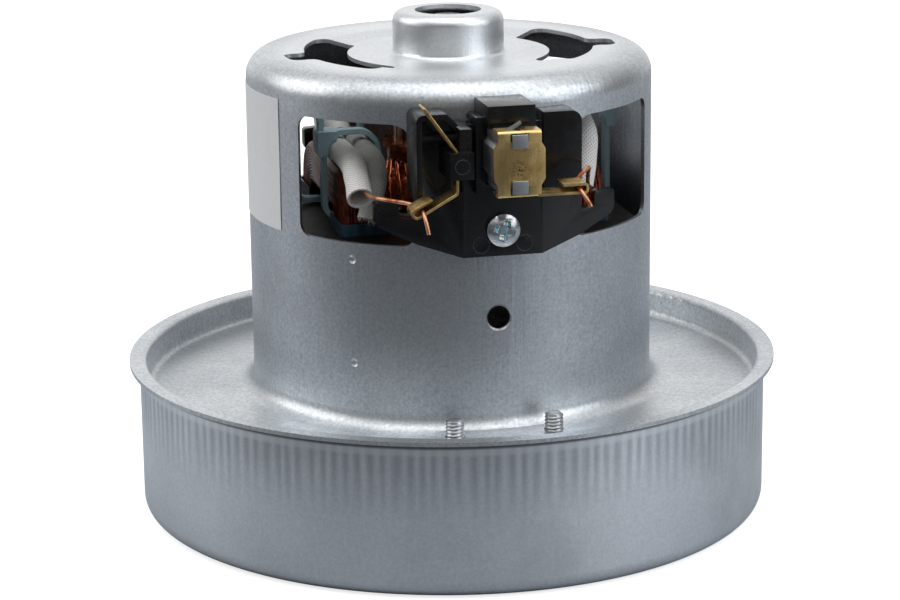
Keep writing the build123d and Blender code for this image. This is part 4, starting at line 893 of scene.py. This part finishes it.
# Field coils: enamelled copper wound on a former, a few hundred turns lying side by side in a
# rounded bundle round each pole. The enamel is dark red-brown and shines only along the wires.
def enamel_finish(name, bright, deep, roughness, coat):
    """Enamelled winding wire: copper under tinted varnish, with turns that differ a little."""
    material, tree, shader = new_material(name)
    turn_tone = noise(tree, 900.0)
    varnish = noise(tree, 120.0, 3.0, 0.6)
    tone = rise(tree, product(tree, turn_tone, varnish), 0.12, 0.42)
    polish = ramp(tree, varnish, roughness - 0.05, roughness + 0.12, 0.3, 0.7)
    dress(shader, blend(tree, tone, deep, bright), polish, 0.7)
    shader.inputs["Coat Weight"].default_value = coat
    shader.inputs["Coat Roughness"].default_value = 0.15
    return material


def rounded_loop(half_width, half_height, corner, count):
    """Points evenly round a rounded rectangle; each quarter is a side and the bend after it."""
    flat_w, flat_h, bend = half_width - corner, half_height - corner, corner * math.pi / 2
    quarters = (
        (flat_w, flat_h, 90, flat_w * 2),
        (flat_w, -flat_h, 0, flat_h * 2),
        (-flat_w, -flat_h, -90, flat_w * 2),
        (-flat_w, flat_h, 180, flat_h * 2),
    )
    points = []
    for step in range(count):
        run = 4 * (flat_w + flat_h + bend) * step / count
        for x, y, degrees, flat in quarters:
            if run <= flat + bend:
                break
            run -= flat + bend
        angle = math.radians(degrees)
        before = min(0.0, run - flat)
        x, y = x + before * math.sin(angle), y - before * math.cos(angle)
        angle -= max(0.0, run - flat) / corner
        points.append((x + corner * math.cos(angle), y + corner * math.sin(angle)))
    return points


def wire_bundle(way):
    """A former-wound coil: every face is ribbed by the wires that lie on it."""
    stations, fine = 132, 5
    near, far, middle = 0.0181, 0.0270, 0.0505
    half_out, half_in = (0.0232, 0.0243), (0.0118, 0.0159)
    corner, fullest = 0.0088, 0.72
    ribs_across, ribs_deep = 13, 15
    groove, uneven, bundle_depth = 0.00028, 0.0001, 0.009
    edge_drop, edge_start, soft = 0.0009, 0.82, 12
    source = random.Random(21)
    drift = [source.uniform(0, math.tau) for _ in range(64)]
    mesh = bmesh.new()
    rings = []
    for station, (y, z) in enumerate(rounded_loop(*half_out, corner, stations)):
        angle = math.tau * station / stations
        hole = max(abs(y) / half_out[0], abs(z) / half_out[1], fullest)
        inner_y = max(-half_in[0], min(half_in[0], y * half_in[0] / half_out[0] / hole))
        inner_z = max(-half_in[1], min(half_in[1], z * half_in[1] / half_out[1] / hole))
        ring = []
        for face, count in enumerate((ribs_across, ribs_deep, ribs_across, ribs_deep)):
            for k in range(count * fine):
                share = k / (count * fine)
                rib = int(share * count)
                phase = drift[rib + 16 * face]
                lift = math.sqrt(max(0.0, 1 - (2 * (share * count - rib) - 1) ** 2))
                sway = uneven * math.sin(2 * angle + phase)
                depth = groove * (1 - lift) + uneven * (1 + math.sin(3 * angle + phase)) / 2
                depth += edge_drop * max(0.0, abs(2 * share - 1) - edge_start) / (1 - edge_start)
                if face == 0:
                    x, u = near + (far - near) * share, 1 - depth / bundle_depth
                elif face == 1:
                    x, u = far - depth, 1 - share
                elif face == 2:
                    x, u = far - (far - near) * share, depth / bundle_depth
                else:
                    x, u = near + depth, share
                x = min(far, max(near, x + sway * min(1.0, soft * share, soft * (1 - share))))
                y_here, z_here = inner_y + (y - inner_y) * u, inner_z + (z - inner_z) * u
                ring.append(mesh.verts.new((way * x, way * y_here, middle + z_here)))
        rings.append(ring)
    bridge_rings(mesh, rings, wrap=True)
    return finished(mesh, outward=True)


field_wire = enamel_finish("field wire enamel", (0.26, 0.055, 0.022), (0.028, 0.008, 0.005), 0.4, 0.0)
field_wire.node_tree.nodes["Principled BSDF"].inputs["Specular IOR Level"].default_value = 0.2
for side, way in (("right", 1), ("left", -1)):
    add_piece(
        f"wire_bundle_{side}", [wire_bundle(way)], field_wire,
        (f"field_coil_{side}",), 80,
    )


# Slot liners: dark blue polyester film folded into the slots, its cut edges standing proud.
# The film is thin and smooth, and a little paler where it was creased.
material, tree, shader = new_material("slot liner film")
drawn_out = place(tree, "Mapping", Vector=object_position(tree), Scale=(1, 1, 0.15)).outputs[0]
crease = noise(tree, 700.0, 3.0, at=drawn_out)
film_blue = blend(tree, rise(tree, crease, 0.4, 0.7), (0.010, 0.030, 0.055), (0.035, 0.085, 0.13))
dress(shader, film_blue, ramp(tree, crease, 0.22, 0.42), relief=(0.25, 0.0001, crease))
finish_nodes(material, "slot_liners_right", "slot_liners_left")


# Core laminations: half-millimetre electrical steel stamped and stacked, with sheared edges.
# The stack shows its sheets as fine level lines, with a brown tint of old rust between them.
sheet_thickness = 0.0005
material, tree, shader = new_material("stacked laminations")
from_seam = compute(tree, "PINGPONG", split(tree)["Z"], sheet_thickness / 2)
seam = rise(tree, from_seam, 0.00001, 0.00007)
rust = noise(tree, 240.0, 6.0, 0.7)
sheared = blend(tree, rise(tree, rust, 0.48, 0.68), (0.34, 0.345, 0.36), (0.16, 0.095, 0.06))
stacked = blend(tree, seam, (0.03, 0.026, 0.024), sheared)
dress(shader, stacked, ramp(tree, rust, 0.35, 0.7), 1.0, (0.5, 0.0001, seam))
finish_nodes(material, "stator_core", "armature_core")


# Cable ties: translucent pale blue nylon straps pulled tight round the sleeves and the coil.
# Each strap passes through a small square head, and its edges are rounded by the mould.
tie_nylon, tree, shader = new_material("tie nylon")
cloud = noise(tree, 300.0, 3.0, 0.6)
nylon_blue = blend(tree, cloud, (0.40, 0.60, 0.64), (0.54, 0.74, 0.79))
dress(shader, nylon_blue, 0.38, relief=(0.15, 0.0001, cloud))
shader.inputs["Subsurface Weight"].default_value = 0.15
shader.inputs["Subsurface Radius"].default_value = (0.0008, 0.0012, 0.0012)
for side in ("brush", "terminal"):
    eased_copy(f"{side}_side_ties", 0.0003, tie_nylon, 3)


# Coil leads: the ends of the field winding, scraped bright where they are hooked into the
# terminal eye and the cap's arm. They run on from the sleeves in easy bends.
lead_copper, tree, shader = new_material("lead copper")
scrape = noise(tree, 1400.0, 3.0, 0.7)
enamelled = rise(tree, noise(tree, 320.0), 0.46, 0.56)
scraped = blend(tree, scrape, (0.62, 0.26, 0.13), (0.90, 0.48, 0.30))
lead_colour = blend(tree, enamelled, scraped, (0.42, 0.11, 0.04))
dress(shader, lead_colour, ramp(tree, scrape, 0.22, 0.42), 0.9, (0.3, 0.00005, scrape))
terminal_lead = (
    (-0.0249, -0.0240, 0.0772), (-0.0254, -0.0332, 0.0735), (-0.0226, -0.0426, 0.0744),
    (-0.0172, -0.0464, 0.07395), (-0.0172, -0.0534, 0.07395), (-0.0166, -0.0541, 0.0698),
)
brush_lead = (
    (0.0213, -0.0280, 0.0781), (0.0197, -0.0306, 0.0724), (0.0194, -0.0365, 0.0719),
    (0.0174, -0.0434, 0.0778), (0.0164, -0.0490, 0.0803), (0.0116, -0.0530, 0.0779),
    (0.0116, -0.0600, 0.0779), (0.0132, -0.0606, 0.0748),
)
lead_radius = 0.0004
for lead_name, route in (("terminal", terminal_lead), ("brush", brush_lead)):
    made = [thread_tube(points, lead_radius, 12) for points in (route, half_turned(route))]
    add_piece(
        f"drawn_{lead_name}_leads", made, lead_copper,
        (f"{lead_name}_leads",), 60,
    )


# Armature winding: coils hand-chorded from slot to slot over both ends of the core, in bright
# orange-red enamel. At the top the coil ends fan out and hook on to the commutator risers.
def chord_coils(foot, climb):
    """Wires that leave one slot, arch over the end of the core and enter another slot."""
    slots, pitch, layers, strands, steps = 12, 5, 3, 4, 10
    strand_gap, wire_radius, nearest, outermost, layer_step = 0.045, 0.00034, 0.0092, 0.0150, 0.0013
    lowest_crest, crest_span, unevenness, sway_depth, steepness = 0.42, 0.52, 0.06, 0.00035, 2.2
    source = random.Random(12)
    tubes = []
    for slot_number in range(slots):
        start = math.tau * slot_number / slots
        for layer in range(layers):
            for strand in range(strands):
                spread = (strand - 1.5) * strand_gap
                first, last = start + spread, start + math.tau * pitch / slots - spread
                tightness = 1 - unevenness + unevenness * source.random()
                crest = climb * tightness * (lowest_crest + crest_span * (layer + 1) / layers)
                reach = outermost - layer_step * layer
                points = []
                for step in range(steps + 1):
                    turn = first + (last - first) * step / steps
                    bow = math.sin(math.pi * step / steps)
                    sway = sway_depth * math.sin(7 * turn + strand)
                    radius = reach - (reach - nearest) * bow ** 0.8 + sway
                    points.append(around(radius, turn, foot + crest * min(1.0, steepness * bow)))
                tubes.append(thread_tube(points, wire_radius, 6))
    return tubes


def end_heap(face_level, end_level):
    """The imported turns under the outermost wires."""
    outline = ((0.0068, 0), (0.0142, 0), (0.0146, 0.35), (0.0136, 0.7), (0.0108, 0.92), (0.0068, 0.92))
    profile = [(radius, face_level + share * (end_level - face_level)) for radius, share in outline]
    return turned_mesh(profile, 72)


def riser_leads():
    """Coil ends from the winding up to the risers, two thin wires to each bar."""
    bars, skew = 24, math.radians(22)
    foot_radius, foot_level, head_radius, head_level = 0.0150, 0.0654, 0.01225, 0.0734
    half_gap, wire_radius, outwards, upwards = 0.00036, 0.00033, 0.0006, 0.0003
    tubes = []
    for bar in range(bars):
        for strand in (-1, 1):
            at = math.tau * bar / bars
            foot = around(foot_radius, at + skew, foot_level)
            head = around(head_radius, at, head_level)
            across = around(half_gap * strand, at + math.pi / 2, 0)
            middle = (foot + head) / 2
            middle.z += upwards
            bulge = Vector((middle.x, middle.y, 0)).normalized() * outwards
            route = [foot + across * 1.4, middle + across * 1.2 + bulge, head + across]
            tubes.append(thread_tube(route, wire_radius, 6))
    return tubes


armature_wire = enamel_finish("armature wire enamel", (0.95, 0.25, 0.07), (0.34, 0.06, 0.02), 0.2, 0.3)
core_top, wire_foot, core_middle = 0.0639, 0.0642, 0.0505
made = chord_coils(wire_foot, 0.0082) + [end_heap(core_top, 0.0724)] + riser_leads()
lower = chord_coils(wire_foot, 0.0076) + [end_heap(core_top, 0.0718)]
for data in lower:
    data.transform(Matrix.Diagonal((1, 1, -1, 1)))
    data.transform(Matrix.Translation((0, 0, 2 * core_middle)))
    data.flip_normals()
add_piece(
    "chorded_winding", made + lower, armature_wire,
    ("armature_winding",), 60, body="rotor",
)


# End discs: grey-green fibre board stamped to the slots, which keeps the wire off the steel.
# The board is matt, and its loose fibres show as a fine mottle.
fibre_board = plain_material(
    "fibre board", 1300.0, 6.0, 0.8, 0.35, 0.65,
    (0.10, 0.12, 0.09), (0.23, 0.25, 0.19), 0.85,
)
finish_nodes(fibre_board, "armature_end_discs")


# Commutator: hard-drawn copper bars moulded in a dark hub and turned true. The brushes leave
# a brown film with fine rings on the track, and the risers keep their raw copper colour.
material, tree, shader = new_material("commutator copper")
level = split(tree)["Z"]
track_rings = noise(tree, 2600.0, 3.0, at=vector_of(tree, Z=level))
patch = noise(tree, 260.0, 4.0)
track = product(tree, rise(tree, level, 0.0772, 0.0782), fall(tree, level, 0.0882, 0.0890))
film = product(tree, track, ramp(tree, patch, 0.65, 1.0))
bar_colour = blend(tree, film, (0.80, 0.40, 0.24), (0.22, 0.10, 0.055))
dress(shader, bar_colour, ramp(tree, track_rings, 0.2, 0.4), 1.0, (0.25, 0.00006, track_rings))
finish_nodes(material, "commutator_bars")
hub_brown, hub_dust = (0.045, 0.022, 0.014), (0.12, 0.09, 0.07)
hub_moulding = moulding_finish("commutator hub moulding", hub_brown, hub_dust, 0.45, 0.7, 400.0)
finish_nodes(hub_moulding, "commutator_hub")


# Shaft, spacer, washer and nut: ground steel shaft with a turned spacer under the impeller,
# all held by a zinc-plated nut. Grinding leaves very fine rings round the shaft.
def turned_finish(name, tint, roughness, ring_scale):
    """Turned or ground steel: fine rings round the shaft and a few oil-brown clouds."""
    material, tree, shader = new_material(name)
    rings = noise(tree, ring_scale, 4.0, 0.7, at=vector_of(tree, Z=split(tree)["Z"]))
    oil = noise(tree, 210.0, 4.0)
    stained = tuple(c * k for c, k in zip(tint, (0.62, 0.55, 0.46)))
    colour = blend(tree, rise(tree, oil, 0.52, 0.72, 0.6), tint, stained)
    polish = ramp(tree, rings, roughness - 0.08, roughness + 0.08, 0.3, 0.7)
    dress(shader, colour, polish, 1.0, (0.2, 0.00006, rings))
    return material


ground_steel = turned_finish("ground shaft steel", (0.66, 0.665, 0.67), 0.2, 3000.0)
for node_name, width, slot_name, material in (
    ("shaft", 0.0002, "shaft_steel", ground_steel),
    ("impeller_spacer", 0.00025, "shaft_steel", ground_steel),
    ("impeller_nut", 0.0003, "screw_steel", bridge_screw_steel),
    ("impeller_washer", 0.0002, "screw_steel", bridge_screw_steel),
):
    eased_copy(node_name, width, material, body="rotor")
finish_nodes(bridge_screw_steel, "preload_washer")


# Ball bearings: hardened chrome steel rings and balls, pressed steel shields, nylon cage.
# The upper one sits in a black rubber sleeve that lets it find its line.
ring_steel = turned_finish("bearing ring steel", (0.62, 0.63, 0.645), 0.16, 5200.0)
ball_steel = turned_finish("ball steel", (0.72, 0.73, 0.745), 0.12, 900.0)
shield_steel = turned_finish("shield steel", (0.58, 0.59, 0.60), 0.3, 1500.0)
cage_nylon = moulding_finish("cage nylon", (0.42, 0.33, 0.21), (0.30, 0.24, 0.16), 0.4, 0.6, 500.0)
for bearing in ("lower", "upper"):
    finish_nodes(ring_steel, f"{bearing}_bearing_inner_ring", f"{bearing}_bearing_outer_ring")
    finish_nodes(ball_steel, f"{bearing}_bearing_balls")
    finish_nodes(shield_steel, f"{bearing}_bearing_shields")
    finish_nodes(cage_nylon, f"{bearing}_bearing_cage")
rubber_black, rubber_dust = (0.018, 0.018, 0.018), (0.10, 0.10, 0.10)
sleeve_rubber = moulding_finish("sleeve rubber", rubber_black, rubber_dust, 0.62, 0.8, 330.0)
finish_nodes(sleeve_rubber, "bearing_sleeve")


# Impeller: two spun aluminium discs with blades riveted between them by tabs from their own
# edges. The aluminium is bright and brushed in rings, with grey dust towards the rim.
material, tree, shader = new_material("spun aluminium")
parts = split(tree)
reach = measure(tree, "LENGTH", vector_of(tree, X=parts["X"], Y=parts["Y"]))
brushed = noise(tree, 2400.0, 4.0, 0.7, at=vector_of(tree, X=reach))
cloud = noise(tree, 130.0, 5.0)
dusty = product(tree, rise(tree, reach, 0.030, 0.056), rise(tree, cloud, 0.35, 0.7))
metal = blend(tree, brushed, (0.62, 0.625, 0.63), (0.84, 0.845, 0.85))
dulled = blend(tree, ramp(tree, dusty, 0.0, 0.7), metal, (0.33, 0.32, 0.30))
dress(shader, dulled, ramp(tree, dusty, 0.27, 0.6), 1.0, (0.2, 0.00006, brushed))
finish_nodes(material, "impeller_shroud", "impeller_blades", "impeller_back_plate")


# Diffuser: one glass-filled moulding with curved vanes round the impeller and return vanes
# under the motor. It is dark grey-brown, matt, with pale fibre specks in the surface.
moulded_grey, settled_dust = (0.055, 0.048, 0.042), (0.21, 0.20, 0.185)
diffuser_grey = moulding_finish("diffuser moulding", moulded_grey, settled_dust, 0.5, 0.8, 160.0)
finish_nodes(diffuser_grey, "diffuser")


# Data sticker: a bare glossy paper label wrapped on the casing beside the left window, with
# square corners, a cut edge and a few bubbles under it. It carries nothing.
def wrapped_sticker():
    """Thin sheet on the casing wall, with its two upright ends lifted a little."""
    wall, gap, thickness = 0.0416, 0.00012, 0.0001
    low, high, first, last = 0.0634, 0.0900, math.radians(-207), math.radians(-157)
    across, upright = 60, 30
    end_lift, end_start, bubble_lift = 0.00005, 0.96, 0.00004
    source = random.Random(4)
    bubbles = []
    for _ in range(5):
        bubble_u, bubble_v = source.uniform(0.1, 0.9), source.uniform(0.1, 0.9)
        bubbles.append((bubble_u, bubble_v, source.uniform(0.02, 0.05)))
    mesh = bmesh.new()
    columns = []
    for i in range(across + 1):
        column = []
        for j in range(upright + 1):
            u, v = i / across, j / upright
            turn = last + (first - last) * u
            at_end = max(0.0, abs(2 * u - 1) - end_start) / (1 - end_start)
            radius = wall + gap + end_lift * at_end * (0.5 + 0.5 * math.sin(9 * v))
            for bubble_u, bubble_v, bubble_size in bubbles:
                away = math.hypot((u - bubble_u) * 0.9, v - bubble_v) / bubble_size
                radius += bubble_lift * max(0.0, 1 - away * away)
            column.append(mesh.verts.new(around(radius, turn, low + (high - low) * v)))
        columns.append(column)
    for here, following in zip(columns, columns[1:]):
        for j in range(upright):
            mesh.faces.new((here[j], following[j], following[j + 1], here[j + 1]))
    bmesh.ops.recalc_face_normals(mesh, faces=mesh.faces)
    bmesh.ops.solidify(mesh, geom=mesh.faces[:], thickness=thickness)
    return finished(mesh)


material, tree, shader = new_material("sticker paper")
paper = noise(tree, 700.0, 5.0, 0.7)
smudge = noise(tree, 60.0, 3.0)
top_highlight_and_clean_paper = blend(tree, rise(tree, paper, 0.3, 0.7), (0.88, 0.88, 0.89), (0.93, 0.93, 0.94))
smudged = blend(tree, rise(tree, smudge, 0.55, 0.75, 0.25), top_highlight_and_clean_paper, (0.66, 0.66, 0.64))
dress(shader, smudged, ramp(tree, smudge, 0.28, 0.5), relief=(0.1, 0.00005, paper))
add_piece("bare_sticker", [wrapped_sticker()], material)
